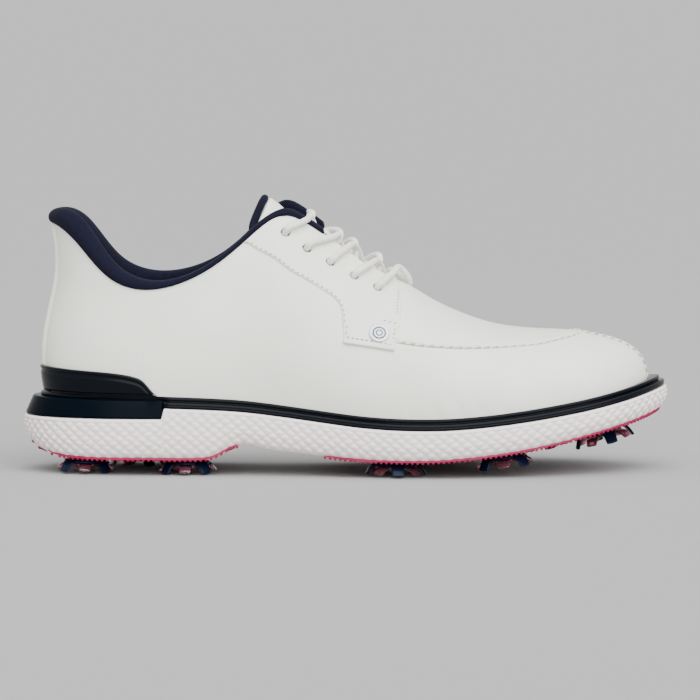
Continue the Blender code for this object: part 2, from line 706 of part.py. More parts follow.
def build_tongue():
    rows = [0, 0.12, 0.25, 0.38, 0.5, 0.62, 0.74, 0.84, 0.92, 0.965]
    across = [-1, -0.66, -0.33, 0, 0.33, 0.66, 1]

    def layer(depth):
        return [[tongue_point(a - 0.03 * b * b * (a > 0.9), b * tongue_half(a), depth) for b in across] for a in rows]

    sheet("tongue_face", layer(0), layer(1.2), "leather", origin=TONGUE_PIVOT)
    sheet("tongue_lining", layer(1.6), layer(3.4), "knit", origin=TONGUE_PIVOT)
    sides = [(a, tongue_half(a) + 2.6) for a in (0.66, 0.74, 0.82, 0.89, 0.95)]
    tip = [(0.99, 10.5), (1.004, 5), (1.007, 0)]
    rim = [(a, -y) for a, y in sides + tip] + (sides + tip[:-1])[::-1]
    centres = [tongue_point(a, y, 1.7) for a, y in rim]
    sections = []
    for i, centre in enumerate(centres):
        along = unit(centres[min(i + 1, len(rim) - 1)] - centres[max(i - 1, 0)])
        a, y = rim[i]
        up = unit(tongue_point(min(a, 0.97), y, 0) - tongue_point(min(a, 0.97), y, 2))
        out = unit(np.cross(along, up))
        sections.append(
            [centre + out * 1.7 * math.cos(k * math.pi / 3) + up * 2.0 * math.sin(k * math.pi / 3) for k in range(6)]
        )
    swept_solid("tongue_binding", sections, "knit", origin=TONGUE_PIVOT)


# ---- laces ------------------------------------------------------------------------------------------------
@functools.lru_cache(None)
def throat_w(x):
    """The w whose top edge is at x, along the throat."""
    low, high = 0.36, 0.66
    for _ in range(40):
        mid = (low + high) / 2
        low, high = (mid, high) if last(mid, 1)[0] > x else (low, mid)
    return low


def throat_point(x, side, height):
    """A point over (or under) the throat's edge at x, along the surface's normal."""
    w = throat_w(x)
    return skin(w if side == "lateral" else 2 - w, 1, height)


def lace_route():
    """The lace's own points: from the end tucked in under the top lateral hole, down one zigzag, across the
    front and up the other. Each strand goes over its own edge of the throat and under the one across."""

    def toward_edge(index, side):
        point, out = eyelet(index, side)
        way = throat_point(EYELETS[index][0] + 3, side, 0) - point
        return unit(way - out * np.dot(way, out))

    def rise(index, side):
        """Up through a hole: from the throat's side, or from the wall's side at the top hole."""
        point, out = eyelet(index, side)
        inward = toward_edge(index, side)
        below = 2.2 if index else -1.6
        return [
            point + out * LACE_UNDER + inward * below,
            point + out * (LACE_UNDER + 2.0) + inward * 0.14 * below,
            point + out * 1.0,
            point + out * (LACE_OVER - 1.5) + inward * 0.4,
            point + out * LACE_OVER + inward * 2.6,
        ]

    def strand(index, side):
        """From over hole index, over the tongue, to under the next hole down on the other side."""
        other = "medial" if side == "lateral" else "lateral"
        x = EYELETS[index][0]
        height = CROSSING_HIGH if side == "lateral" else CROSSING_LOW
        middle = (throat_point(x + 9, "lateral", 0) + throat_point(x + 9, "medial", 0)) / 2
        middle = middle + np.array([0.56, 0, 0.83]) * height
        return [
            throat_point(x + 5.5, side, LACE_OVER + 0.3),
            middle,
            throat_point(EYELETS[index + 1][0] + 2.6, other, LACE_UNDER - 0.1),
        ]

    def zigzag(first, second):
        made = []
        for i in range(5):
            side = (first, second)[i % 2]
            made += rise(i, side)
            if i < 4:
                made += strand(i, side)
        return made

    def tail(side):
        """Down the inside of the wall from under the top hole."""
        w, t = find(*EYELETS[0])
        w = w if side == "lateral" else 2 - w
        return [skin(w, t - 0.18, LACE_UNDER - 0.5), skin(w, t - 0.10, LACE_UNDER - 0.6)]

    bar = [throat_point(20.5, "lateral", LACE_OVER + 0.4), np.array([25.6, 0.0, 95.6])]
    bar.append(bar[0] * (1, -1, 1))
    there, back = zigzag("lateral", "medial"), zigzag("medial", "lateral")[::-1]
    return tail("lateral") + there + bar + back + tail("medial")[::-1]


def build_laces():
    route = lace_route()
    curve = spline([(i, *p) for i, p in enumerate(route)])
    keys = spaced(0, len(route) - 1, len(route) + len(route) // 2)
    data = bpy.data.curves.new("laces", "CURVE")
    data.dimensions = "3D"
    line = data.splines.new("POLY")
    line.points.add(len(keys) - 1)
    for spot, key in zip(line.points, keys):
        spot.co = (*(curve(key) * MM), 1)
    data.bevel_depth = LACE_R * MM
    data.bevel_resolution = 2
    data.use_fill_caps = True
    data.materials.append(material("lace"))
    PARTS.objects.link(bpy.data.objects.new("laces", data))


# ---- button -----------------------------------------------------------------------------------------------
def turned(name, profile, finish, point, direction, segments):
    """A turned piece: profile of (radius, height) from its top centre down, on an axis."""
    mesh = bpy.data.meshes.new(name)
    mesh.from_pydata([(r * MM, 0, h * MM) for r, h in profile], [(i, i + 1) for i in range(len(profile) - 1)], [])
    made = bpy.data.objects.new(name, mesh)
    screw = made.modifiers.new("turn", "SCREW")
    screw.steps = screw.render_steps = segments
    screw.use_merge_vertices = True
    screw.merge_threshold = 0.00001
    turn = Vector(direction).to_track_quat("Z", "Y").to_matrix().to_4x4()
    made.matrix_world = Matrix.Translation(Vector(point) * MM) @ turn
    mesh.materials.append(material(finish))
    PARTS.objects.link(made)
    return made


def build_button():
    point, out = button_axis()
    cap = [(0, 1.7), (3.6, 1.6), (4.4, 1.1), (BUTTON_R, 0.5), (BUTTON_R, 0), (0, 0)]
    turned("button_cap", cap, "metal", point + out * (EYESTAY_HIGH + GAP), out, 20)
    post = [(0, 3.9), (BUTTON_POST_R, 3.9), (BUTTON_POST_R, 0.8), (3.2, 0.8), (3.2, 0), (0, 0)]
    turned("button_post", post, "metal", point - out * 2.6, out, SIDES)


# ---- cleats and their sockets -----------------------------------------------------------------------------
def cleat_frame(x, y):
    """Where a cleat meets the outsole, and the sole's own axes there: forward, sideways, up."""
    slope = (foam_bottom(x + 3) - foam_bottom(x - 3)) / 6
    forward = unit(np.array([1, 0, slope]))
    up = np.array([-forward[2], 0, forward[0]])
    spot = np.array([x, y, foam_bottom(x)]) - up * (GAP + OUTSOLE_THICK + GAP)
    return spot, forward, np.array([0.0, 1.0, 0.0]), up


def ring(frame, radius, height, phase=0.0):
    """SIDES points round the cleat's axis; radius may be a function of the side's number."""
    spot, forward, sideways, up = frame
    points = []
    for k in range(SIDES):
        r = radius(k) if callable(radius) else radius
        angle = math.radians(phase) + 2 * math.pi * k / SIDES
        points.append(spot + forward * r * math.cos(angle) + sideways * r * math.sin(angle) + up * height)
    return points


def star_solid(name, frame, tiers, legs, finish, phase):
    """A round body from tiers of (radius, height), with legs grown from some of the faces of one tier."""
    rings = [ring(frame, r, h, phase) for r, h in tiers]
    points = [p for one in rings for p in one]
    faces = [tuple(range(SIDES)), tuple(range(len(points) - SIDES, len(points)))]
    tier, picks, steps = legs
    for face in grid_faces(len(rings), SIDES, wrap_columns=True):
        row, column = divmod(face[0], SIDES)
        if row != tier or column not in picks:
            faces.append(face)
            continue
        spot, _, _, up = frame
        base = [points[v] for v in face]
        middle = sum(base) / 4
        radial = middle - spot
        radial = unit(radial - up * np.dot(radial, up))
        across = np.cross(up, radial)
        last_face = list(face)
        for reach, drop, half_width, half_thick in steps:
            centre = spot + radial * reach - up * drop
            new = []
            for v, p in zip(face, base):
                side = 1 if np.dot(p - middle, across) > 0 else -1
                level = 1 if np.dot(p - middle, up) > 0 else -1
                tilt = unit(radial * 0.5 + up)
                new.append(centre + across * side * half_width + tilt * level * half_thick)
            start = len(points)
            points.extend(new)
            fresh = list(range(start, start + 4))
            for i in range(4):
                j = (i + 1) % 4
                faces.append((last_face[i], last_face[j], fresh[j], fresh[i]))
            last_face = fresh
        faces.append(tuple(last_face))
    return add_object(name, points, faces, finish, origin=frame[0])


def build_cleat(label, x, y, turn):
    frame = cleat_frame(x, y)
    lug = {0, 4, 8}
    navy_legs = (6, {0, 3, 6, 9}, [(11.6, 2.0, 2.2, 0.6), (13.2, 5.2, 1.7, 0.55), (14.0, CLEAT_REACH - 0.75, 1.4, 0.5)])
    tiers = [
        (5.4, 4.4),
        (5.4, 3.9),
        (lambda k: 6.9 if k in lug or k - 1 in lug else 5.4, 3.6),
        (lambda k: 6.9 if k in lug or k - 1 in lug else 5.4, 2.5),
        (5.4, 2.2),
        (5.4, 0.0),
        (10.0, -0.1),
        (10.2, -1.3),
    ]
    star_solid("cleat_" + label, frame, tiers, navy_legs, "cleat", turn)
    clear_legs = (1, {1, 4, 7, 10}, [(11.4, 3.4, 2.5, 0.8), (12.8, CLEAT_REACH - 2.2, 2.2, 0.8)])
    tiers = [(8.6, -1.7), (9.0, -2.1), (8.6, -3.2), (6.0, -3.6)]
    star_solid("cleat_paws_" + label, frame, tiers, clear_legs, "clear", turn)
    build_socket(label, frame)


def build_socket(label, frame):
    """The cup that the cleat's lugs turn in: a lip with three gaps, one sixth of a turn from the lugs."""
    gaps = {2, 6, 10}

    def lip(k):
        return 7.6 if k in gaps or k - 1 in gaps else 6.0

    low = GAP + 0.1
    outer = [ring(frame, 9.2, low, 0), ring(frame, 9.2, 6.2, 0)]
    inner = [ring(frame, 7.8, 5.0, 0), ring(frame, 7.8, 2.0, 0), ring(frame, lip, 1.9, 0), ring(frame, lip, low, 0)]
    rings = outer + inner
    points = [p for one in rings for p in one]
    faces = grid_faces(2, SIDES, wrap_columns=True)
    faces += grid_faces(4, SIDES, wrap_columns=True, start=2 * SIDES)
    faces += [tuple(range(SIDES, 2 * SIDES)), tuple(range(2 * SIDES, 3 * SIDES))]
    for k in range(SIDES):
        m = (k + 1) % SIDES
        faces.append((k, m, 5 * SIDES + m, 5 * SIDES + k))
    add_object("receptacle_" + label, points, faces, "plastic")


# ---- the shoe ---------------------------------------------------------------------------------------------
def build_all():
    step = w_at(WEDGE_FRONT_X)
    midsole = build_midsole()
    heel = build_outsole("outsole_heel", both_sides([0.672, 0.69, 0.71, 0.735, 0.765] + HEEL_WS))
    fore = build_outsole("outsole_forefoot", both_sides(SOLE_WS[:9] + [0.43, 0.46, 0.49]))
    frames = [cleat_frame(x, y) for _, x, y, _ in CLEATS]
    pockets = cylinder_cutter("pockets", [(f[0], f[3]) for f in frames], 9.8, -0.5, 6.8, 12)
    for piece in (midsole, heel, fore):
        cut(piece, pockets)
    build_wedge()
    build_welt()
    build_stabilizer()
    for side in ("lateral", "medial"):
        build_side_panel(side)
        build_eyestay(side)
        build_lining(side)
    build_apron()
    build_heel_strip()
    build_stiffeners()
    build_collar()
    build_inside()
    build_tongue()
    build_laces()
    build_button()
    for label, x, y, turn in CLEATS:
        build_cleat(label, x, y, turn)


build_all()
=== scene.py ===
"""The golf shoe's looks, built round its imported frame.

Frame: +X points to the toe, -Y to the lateral (outer) side, +Z up, origin on the ground under the middle of
the shoe. Tables and sizes here are in millimetres, and meshes are made in metres.

The upper's surface is skin(w, t, depth), as in the CAD: w goes round the foot, 0 at the toe, 1 at the heel by
the lateral side, 2 at the toe again by the medial side; t climbs from the sole to the top edge or the ridge;
depth is along the outward normal.
"""

import math

import bpy
import numpy as np
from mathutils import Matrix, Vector


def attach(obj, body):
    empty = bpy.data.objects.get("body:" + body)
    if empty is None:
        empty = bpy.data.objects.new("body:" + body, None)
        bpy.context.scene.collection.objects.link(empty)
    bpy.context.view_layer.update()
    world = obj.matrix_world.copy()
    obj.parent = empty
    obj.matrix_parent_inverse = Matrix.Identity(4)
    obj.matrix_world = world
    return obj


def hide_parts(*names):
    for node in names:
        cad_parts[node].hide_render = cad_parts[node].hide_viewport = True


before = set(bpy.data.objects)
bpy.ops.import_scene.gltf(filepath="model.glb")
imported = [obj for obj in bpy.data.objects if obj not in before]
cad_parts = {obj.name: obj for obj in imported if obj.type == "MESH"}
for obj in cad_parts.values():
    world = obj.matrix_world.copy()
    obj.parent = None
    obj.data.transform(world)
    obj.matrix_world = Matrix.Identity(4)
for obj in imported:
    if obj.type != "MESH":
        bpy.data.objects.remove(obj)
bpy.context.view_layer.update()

MM = 0.001
GAP = 0.4  # the CAD's free gap between pieces
SIDES = ("lateral", "medial")

# ---- the shoe's tables, as in the CAD ---------------------------------------------------------------------
# foot of the wall: x, lateral y, medial y | top: x, half opening, centre y, z, medial rise | azimuth, slope |
# lean at the foot | the two curve handles
STATIONS = [
    (142.0, 5.0, 5.0, 111.0, 0.0, 3.0, 64.4, 0.0, 0, 9, 4, 0.48, 0.50),
    (138.0, -8.5, 18.0, 106.0, 0.0, 3.0, 65.2, 0.0, 42, 5, 8, 0.46, 0.52),
    (128.0, -22.0, 29.5, 98.0, 0.0, 3.0, 65.7, 0.0, 66, 1, 12, 0.42, 0.54),
    (112.0, -33.0, 38.5, 88.0, 0.0, 2.0, 66.1, 0.0, 82, 0, 16, 0.38, 0.56),
    (90.0, -41.5, 44.5, 73.0, 0.0, 1.0, 67.9, 0.0, 90, 0, 20, 0.36, 0.56),
    (65.0, -46.5, 45.5, 57.0, 0.0, 0.0, 72.6, 0.0, 90, 0, 20, 0.36, 0.54),
    (42.0, -47.0, 41.5, 41.0, 0.0, 0.0, 80.0, 0.0, 90, 2, 18, 0.38, 0.50),
    (25.0, -46.0, 35.5, 29.0, 1.5, 0.0, 87.0, 0.0, 90, 10, 16, 0.40, 0.44),
    (12.0, -44.0, 31.0, 17.0, 10.0, 0.0, 92.5, 0.0, 90, 32, 15, 0.42, 0.36),
    (-6.0, -40.0, 26.5, 0.0, 11.0, 0.0, 103.5, 1.0, 90, 38, 14, 0.42, 0.34),
    (-26.0, -36.0, 24.5, -19.0, 12.0, 0.0, 116.5, 2.5, 90, 44, 13, 0.40, 0.34),
    (-42.0, -33.5, 25.5, -31.5, 17.0, 0.0, 119.5, 2.2, 92, 58, 12, 0.40, 0.34),
    (-56.0, -32.5, 27.0, -46.0, 22.5, 0.0, 108.8, -0.9, 95, 70, 11, 0.40, 0.34),
    (-73.0, -32.0, 29.0, -64.0, 27.5, 0.0, 95.0, -0.4, 97, 80, 10, 0.40, 0.34),
    (-91.0, -31.0, 29.5, -87.0, 30.0, 0.0, 86.4, 1.5, 98, 84, 10, 0.40, 0.34),
    (-108.0, -28.5, 27.5, -108.0, 27.0, 0.0, 90.3, 1.2, 105, 86, 11, 0.40, 0.34),
    (-123.0, -22.5, 22.0, -122.5, 19.5, 0.0, 104.8, 0.5, 124, 90, 12, 0.42, 0.36),
    (-134.0, -13.0, 13.0, -132.3, 10.5, 0.0, 114.0, 0.0, 150, 99, 13, 0.46, 0.41),
    (-138.5, 0.0, 0.0, -137.4, 0.0, 0.0, 116.5, 0.0, 180, 104, 14, 0.50, 0.44),
]
STEPS = len(STATIONS) - 1
THROAT_W = 0.419  # where the throat's front end meets the apron
# curves over x: the apron's seam, the foam's top and bottom, and how far the sole stands out from the wall
SEAM = [(20, 63.6), (26, 62.5), (34, 61.4), (43, 60.6), (52, 60.1), (67, 60.0), (82, 60.3), (92, 61.2),
        (99.5, 62.6), (107, 64.0), (112, 65.2)]
FOAM_TOP = [(-145, 31.8), (-110, 31.5), (-84, 31.2), (-66, 30.6), (-48, 29.6), (-31, 27.8), (-12, 25.4),
            (7, 23.2), (26, 22.1), (44, 22.1), (63, 23.4), (82, 25.6), (101, 28.4), (120, 31.9), (138, 36.2),
            (150, 39.5)]
FOAM_BOTTOM = [(-152, 19.0), (-147, 14.5), (-139, 10.4), (-126, 8.4), (-110, 8.0), (-90, 8.0), (-68, 8.0),
               (-61, 9.2), (-53, 13.4), (-47, 14.5), (-38, 13.0), (-20, 11.0), (0, 9.0), (20, 8.1), (32, 8.0),
               (46, 8.5), (60, 9.8), (76, 11.8), (92, 14.6), (110, 18.6), (129, 23.4), (142, 27.2), (152, 31.0)]
SOLE_MARGIN = [(-140, 13.0), (-125, 10.5), (-100, 8.0), (-60, 6.5), (40, 6.5), (100, 6.5), (130, 8.0),
               (142, 9.5)]
WEDGE_BASE_Z = 26.8
STABILIZER_TOP = [(-142, 49.8), (-131, 49.0), (-115.6, 48.1), (-104, 47.1), (-97.7, 45.8), (-93.8, 43.8),
                  (-91.5, 41.3), (-89.1, 38.6), (-87.0, 36.9), (-83, 35.9)]
OUTSOLE_THICK = 1.2
CLEAT_CLEAR = 17.2  # the lugs keep this far from a cleat's axis
# name, x, y, turn in degrees
CLEATS = [
    ("heel_lateral_rear", -121.0, -15.5, 45),
    ("heel_lateral_front", -73.5, -21.0, 40),
    ("heel_medial", -97.0, 17.5, 20),
    ("fore_lateral_rear", 23.5, -33.5, 4),
    ("fore_medial_rear", 43.0, 27.5, 30),
    ("fore_lateral_front", 73.0, -31.0, 42),
    ("fore_medial_front", 92.0, 26.5, 15),
    ("toe", 120.0, 1.5, 12),
]
# x and z of the holes' centres, from the top
EYELETS = [(-28.0, 112.0), (-18.1, 104.6), (-7.3, 98.2), (3.8, 91.8), (14.6, 86.3)]
LACE_R = 1.48
EYELET_R = 2.2
BUTTON_HOLE_R = 1.8
# depths of the lace's centre line over and under the upper's surface
LACE_OVER = 3.2
LACE_UNDER = -3.85
# how far a crossing is ahead of its holes, the medial strand's height there, and the crest's shift ahead and up
CROSSINGS = [(9.8, 3.7, 1.6, 1.5), (12.2, 4.1, 2.6, 1.3), (8.2, 4.6, 4.4, 0.9), (8.2, 5.7, 4.0, 1.3)]
# x and z along the eyestay's edges
EYESTAY_REAR = [(-46.5, 108.2), (-37.9, 103.0), (-27.8, 96.6), (-19.9, 91.7), (-11.8, 86.8), (-6.2, 83.2),
                (-3.0, 79.6), (-1.6, 74.8), (-0.9, 67.5), (-0.9, 61.8)]
EYESTAY_FRONT = [(25.4, 82.5), (25.8, 75.5), (25.0, 68.0), (23.4, 58.9)]
EYESTAY_LOW, EYESTAY_HIGH = -0.5, 1.0
BUTTON = (15.5, 65.7)
# x and z along the middle of the tongue's face, and how fast the face falls to its sides
TONGUE_SPINE = [(40, 77.2), (34, 80.4), (28, 83.4), (17, 89.0), (0, 100.4), (-14, 110.3), (-25, 119.1),
                (-31.3, 124.9), (-37.0, 128.7)]
TONGUE_ARCH = 0.0490


# ---- curves and the upper's surface -----------------------------------------------------------------------
def spline(points):
    """A natural cubic through (key, value, ...) points, as a function of an array of keys."""
    keys = np.array([p[0] for p in points], float)
    values = np.array([p[1:] for p in points], float)
    if keys[0] > keys[-1]:
        keys, values = keys[::-1], values[::-1]
    count, step = len(keys), np.diff(keys)
    system, right = np.eye(count), np.zeros_like(values)
    for i in range(1, count - 1):
        system[i, i - 1 : i + 2] = step[i - 1], 2 * (step[i - 1] + step[i]), step[i]
        right[i] = 6 * ((values[i + 1] - values[i]) / step[i] - (values[i] - values[i - 1]) / step[i - 1])
    bend = np.linalg.solve(system, right)

    def at(key):
        key = np.clip(np.asarray(key, float), keys[0], keys[-1])
        i = np.clip(np.searchsorted(keys, key) - 1, 0, count - 2)
        a = ((keys[i + 1] - key) / step[i])[..., None]
        b = 1 - a
        value = a * values[i] + b * values[i + 1]
        value = value + ((a**3 - a) * bend[i] + (b**3 - b) * bend[i + 1]) * (step[i] ** 2 / 6)[..., None]
        return value[..., 0] if values.shape[1] == 1 else value

    return at


def through(points):
    """A cubic through points in their order, as a function of keys 0..len(points) - 1."""
    return spline([(i, *p) for i, p in enumerate(points)])


def closed_spline(values):
    """A cubic through evenly keyed values that repeat, as a function of keys 0..len(values)."""
    values = np.array(values, float)
    count = len(values)
    system = 4 * np.eye(count) + np.roll(np.eye(count), 1, 0) + np.roll(np.eye(count), -1, 0)
    right = 6 * (np.roll(values, -1, 0) - 2 * values + np.roll(values, 1, 0))
    bend = np.linalg.solve(system, right)

    def at(key):
        key = np.mod(np.asarray(key, float), count)
        i = np.minimum(key.astype(int), count - 1)
        j = (i + 1) % count
        b = (key - i)[..., None]
        a = 1 - b
        return a * values[i] + b * values[j] + ((a**3 - a) * bend[i] + (b**3 - b) * bend[j]) / 6

    return at


def station_loop():
    """The stations once round the foot, with angles that run on and drop by 360 degrees a turn."""
    lateral = [(r[0], r[1], r[3], r[5] - r[4], r[6], -r[8]) + r[9:] for r in STATIONS]
    medial = [(r[0], r[2], r[3], r[5] + r[4], r[6] + r[7], r[8] - 360) + r[9:] for r in STATIONS[-2:0:-1]]
    loop = np.array(lateral + medial, float)
    loop[:, 5] += np.arange(len(loop)) * 360 / len(loop)
    return loop


LOOP = closed_spline(station_loop())
foam_top = spline(FOAM_TOP)
foam_bottom = spline(FOAM_BOTTOM)
sole_margin = spline(SOLE_MARGIN)
seam_z = spline(SEAM)


def unit(v):
    return v / np.linalg.norm(v, axis=-1, keepdims=True)


def station(w):
    """The stations' values at w."""
    w = np.mod(np.asarray(w, float), 2)
    values = LOOP(w * STEPS)
    values[..., 5] -= w * 180
    return values


def outward(w):
    """Horizontal normal of the wall's foot."""
    w = np.asarray(w, float)
    a, b = station(w - 0.002), station(w + 0.002)
    return unit(np.stack([a[..., 1] - b[..., 1], b[..., 0] - a[..., 0], np.zeros(w.shape)], -1))


def last(w, t):
    """The upper's surface."""
    w, t = np.broadcast_arrays(np.asarray(w, float), np.asarray(t, float))
    x0, y0, x1, y1, z1, azimuth, slope, lean, low, high = np.moveaxis(station(w), -1, 0)
    foot = np.stack([x0, y0, foam_top(x0) + 0.3], -1)
    top = np.stack([x1, y1, z1], -1)
    reach = np.linalg.norm(top - foot, axis=-1)[..., None]
    azimuth, slope, lean = np.radians(azimuth), np.radians(slope), np.radians(lean)
    rise = outward(w) * np.sin(lean)[..., None] + np.cos(lean)[..., None] * np.array([0, 0, 1.0])
    fall = np.stack([np.cos(azimuth) * np.cos(slope), np.sin(azimuth) * np.cos(slope), -np.sin(slope)], -1)
    b, c = foot + rise * low[..., None] * reach, top + fall * high[..., None] * reach
    t = t[..., None]
    s = 1 - t
    return s**3 * foot + 3 * s * s * t * b + 3 * s * t * t * c + t**3 * top


def normal(w, t):
    """The upper's outward normal."""
    e = 0.004
    t = np.clip(np.asarray(t, float), 0.01, 0.985)
    along = last(w + e, t) - last(w - e, t)
    up = last(w, t + e) - last(w, t - e)
    return unit(np.cross(up, along))


def skin(w, t, depth=0.0):
    return last(w, t) + normal(w, t) * np.asarray(depth, float)[..., None]


def t_at(w, z):
    """The lowest t at which the wall reaches height z."""
    w, z = np.broadcast_arrays(np.asarray(w, float), np.asarray(z, float))
    heights = last(w[..., None], np.linspace(0, 1, 201))[..., 2]
    k = np.clip((heights >= z[..., None]).argmax(-1), 1, 200)
    a = np.take_along_axis(heights, k[..., None] - 1, -1)[..., 0]
    b = np.take_along_axis(heights, k[..., None], -1)[..., 0]
    return (k - 1 + np.clip((z - a) / (b - a), 0, 1)) / 200


def seam_t(w):
    """t of the apron's seam at w: 1 at the toe, where it meets the ridge."""
    w = np.asarray(w, float)
    ts = np.linspace(0.15, 1, 341)
    spots = last(w[..., None], ts)
    over = spots[..., 2] - seam_z(spots[..., 0])
    k = np.where((over >= 0).any(-1), np.clip((over >= 0).argmax(-1), 1, 340), 340)
    a = np.take_along_axis(over, k[..., None] - 1, -1)[..., 0]
    b = np.take_along_axis(over, k[..., None], -1)[..., 0]
    return 0.15 + 0.0025 * (k - 1 + np.clip(-a / np.where(b == a, 1, b - a), 0, 1))


def halve(goes_on, low, high, rounds):
    """The place between low and high up to which goes_on holds, by halving."""
    for _ in range(rounds):
        middle = (low + high) / 2
        low, high = (middle, high) if goes_on(middle) else (low, middle)
    return low


def find(x, z):
    """(w, t) of the lateral wall's point at x and z, by Newton's method."""
    v, e = np.array([halve(lambda w: station(w)[0] > x, 0.0, 1.0, 30), 0.7]), 1e-4
    for _ in range(30):
        here = last(*v)[[0, 2]]
        slope = [(last(v[0] + e, v[1])[[0, 2]] - here) / e, (last(v[0], v[1] + e)[[0, 2]] - here) / e]
        v = v - np.clip(np.linalg.solve(np.column_stack(slope), here - (x, z)), -0.05, 0.05)
        v[1] = min(max(v[1], 0.0), 1.0)
    return float(v[0]), float(v[1])


def edge(w, inset, z=0.0):
    """A point inset from the sole's edge at w; z is a height or a function of x."""
    w = np.asarray(w, float)
    x0, y0 = station(w)[..., 0], station(w)[..., 1]
    inset = np.broadcast_to(np.asarray(inset, float), w.shape)
    spot = np.stack([x0, y0, np.zeros(w.shape)], -1) + outward(w) * (sole_margin(x0) - inset)[..., None]
    spot[..., 2] = z(spot[..., 0]) if callable(z) else z
    return spot


def w_at(x):
    """The lateral w at which the wall's foot is at x."""
    return halve(lambda w: station(w)[0] > x, 0.0, 1.0, 40)


def smooth(a, b, x):
    """0 below a, 1 above b, with a soft step between."""
    x = np.clip((np.asarray(x, float) - a) / (b - a), 0, 1)
    return x * x * (3 - 2 * x)


def to_side(w, side):
    """The lateral w as it is, or the medial w across from it."""
    return w if side == "lateral" else 2 - w


def runs(points):
    """How far along a line of points each point is."""
    return np.concatenate([[0], np.cumsum(np.linalg.norm(np.diff(points, axis=0), axis=1))])


def climbs(grid, axis):
    """How far along its row or column each point of a grid is."""
    steps = np.cumsum(np.linalg.norm(np.diff(grid, axis=axis), axis=-1), axis)
    return np.concatenate([np.zeros_like(steps.take([0], axis)), steps], axis)


def both_sides(half):
    """Lateral w from the toe to the heel, and on along the medial side."""
    return np.concatenate([half, 2 - half[::-1]])


def crowded(count):
    """0 to 1 with the samples crowded at both ends."""
    return 0.5 - 0.5 * np.cos(np.linspace(0, math.pi, count))


# ---- materials --------------------------------------------------------------------------------------------
class Paint:
    """A Principled material with small procedural detail."""

    def __init__(self, name, colour, roughness, **sockets):
        self.made = bpy.data.materials.new(name)
        self.made.use_nodes = True
        self.tree = self.made.node_tree
        self.shader = self.tree.nodes["Principled BSDF"]
        self.shader.inputs["Base Color"].default_value = (*colour, 1)
        self.shader.inputs["Roughness"].default_value = roughness
        for key, value in sockets.items():
            self.shader.inputs[key.replace("_", " ")].default_value = value
        self.last_bump = None

    def node(self, kind, **sockets):
        made = self.tree.nodes.new("ShaderNode" + kind)
        for key, value in sockets.items():
            made.inputs[key.replace("_", " ")].default_value = value
        return made

    def link(self, a, b):
        self.tree.links.new(a, b)

    def texture(self, kind, place="Object", **sockets):
        made = self.node(kind, **sockets)
        self.link(self.node("TexCoord").outputs[place], made.inputs["Vector"])
        return made

    def noise(self, scale, detail):
        return self.texture("TexNoise", Scale=scale, Detail=detail).outputs["Fac"]

    def cells(self, scale):
        return self.texture("TexVoronoi", Scale=scale).outputs["Distance"]

    def wave(self, scale, direction, distortion):
        made = self.texture("TexWave", "UV", Scale=scale, Distortion=distortion)
        made.bands_direction = direction
        return made.outputs["Fac"]

    def maths(self, operation, a, b):
        made = self.node("Math")
        made.operation = operation
        for socket, value in zip(made.inputs, (a, b)):
            if isinstance(value, (int, float)):
                socket.default_value = value
            else:
                self.link(value, socket)
        return made.outputs[0]

    def spread(self, value, low, high):
        """A 0..1 value spread over low..high."""
        made = self.node("MapRange")
        made.inputs["To Min"].default_value = low
        made.inputs["To Max"].default_value = high
        self.link(value, made.inputs["Value"])
        return made.outputs["Result"]

    def tint(self, value, low, high, start=0.0, end=1.0):
        """The base colour, from low to high as value goes from start to end."""
        ramp = self.node("ValToRGB")
        ramp.color_ramp.elements[0].color = (*low, 1)
        ramp.color_ramp.elements[1].color = (*high, 1)
        ramp.color_ramp.elements[0].position = start
        ramp.color_ramp.elements[1].position = end
        self.link(value, ramp.inputs["Fac"])
        self.link(ramp.outputs["Color"], self.shader.inputs["Base Color"])
        return self

    def rough(self, value, low, high):
        self.link(self.spread(value, low, high), self.shader.inputs["Roughness"])
        return self

    def bump(self, value, strength, distance):
        made = self.node("Bump", Strength=strength, Distance=distance)
        self.link(value, made.inputs["Height"])
        if self.last_bump:
            self.link(self.last_bump, made.inputs["Normal"])
        self.last_bump = made.outputs["Normal"]
        self.link(self.last_bump, self.shader.inputs["Normal"])
        return self


def leather_paint(name, low, high):
    paint = Paint(name, high, 0.46, Coat_Weight=0.06, Coat_Roughness=0.4)
    paint.tint(paint.noise(34, 4), low, high, 0.35, 0.62)
    paint.rough(paint.noise(160, 3), 0.40, 0.54)
    paint.bump(paint.noise(420, 3), 0.10, 0.0004)
    grain = paint.maths("ADD", paint.cells(1500), paint.maths("MULTIPLY", paint.noise(2600, 2), 0.6))
    paint.bump(grain, 0.16, 0.00012)
    return paint.made


def knit_paint(name, low, high, rib):
    """A fine rib knit; its UV map is in metres along and across."""
    paint = Paint(name, high, 0.92, Specular_IOR_Level=0.12, Sheen_Weight=0.03, Sheen_Roughness=0.4)
    wales = paint.wave(rib, "X", 1.2)
    courses = paint.wave(rib * 1.5, "Y", 1.6)
    loops = paint.maths("ADD", wales, paint.maths("MULTIPLY", courses, 0.7))
    paint.tint(paint.maths("MULTIPLY", loops, paint.noise(900, 2)), low, high, 0.1, 0.8)
    paint.bump(loops, 0.35, 0.0002)
    paint.bump(paint.noise(3200, 3), 0.25, 0.00015)
    return paint.made


def gloss_paint(name, colour, roughness, shine):
    paint = Paint(name, colour, roughness, Specular_IOR_Level=shine)
    paint.rough(paint.noise(70, 3), roughness - 0.03, roughness + 0.05)
    paint.bump(paint.noise(240, 2), 0.05, 0.0002)
    return paint.made


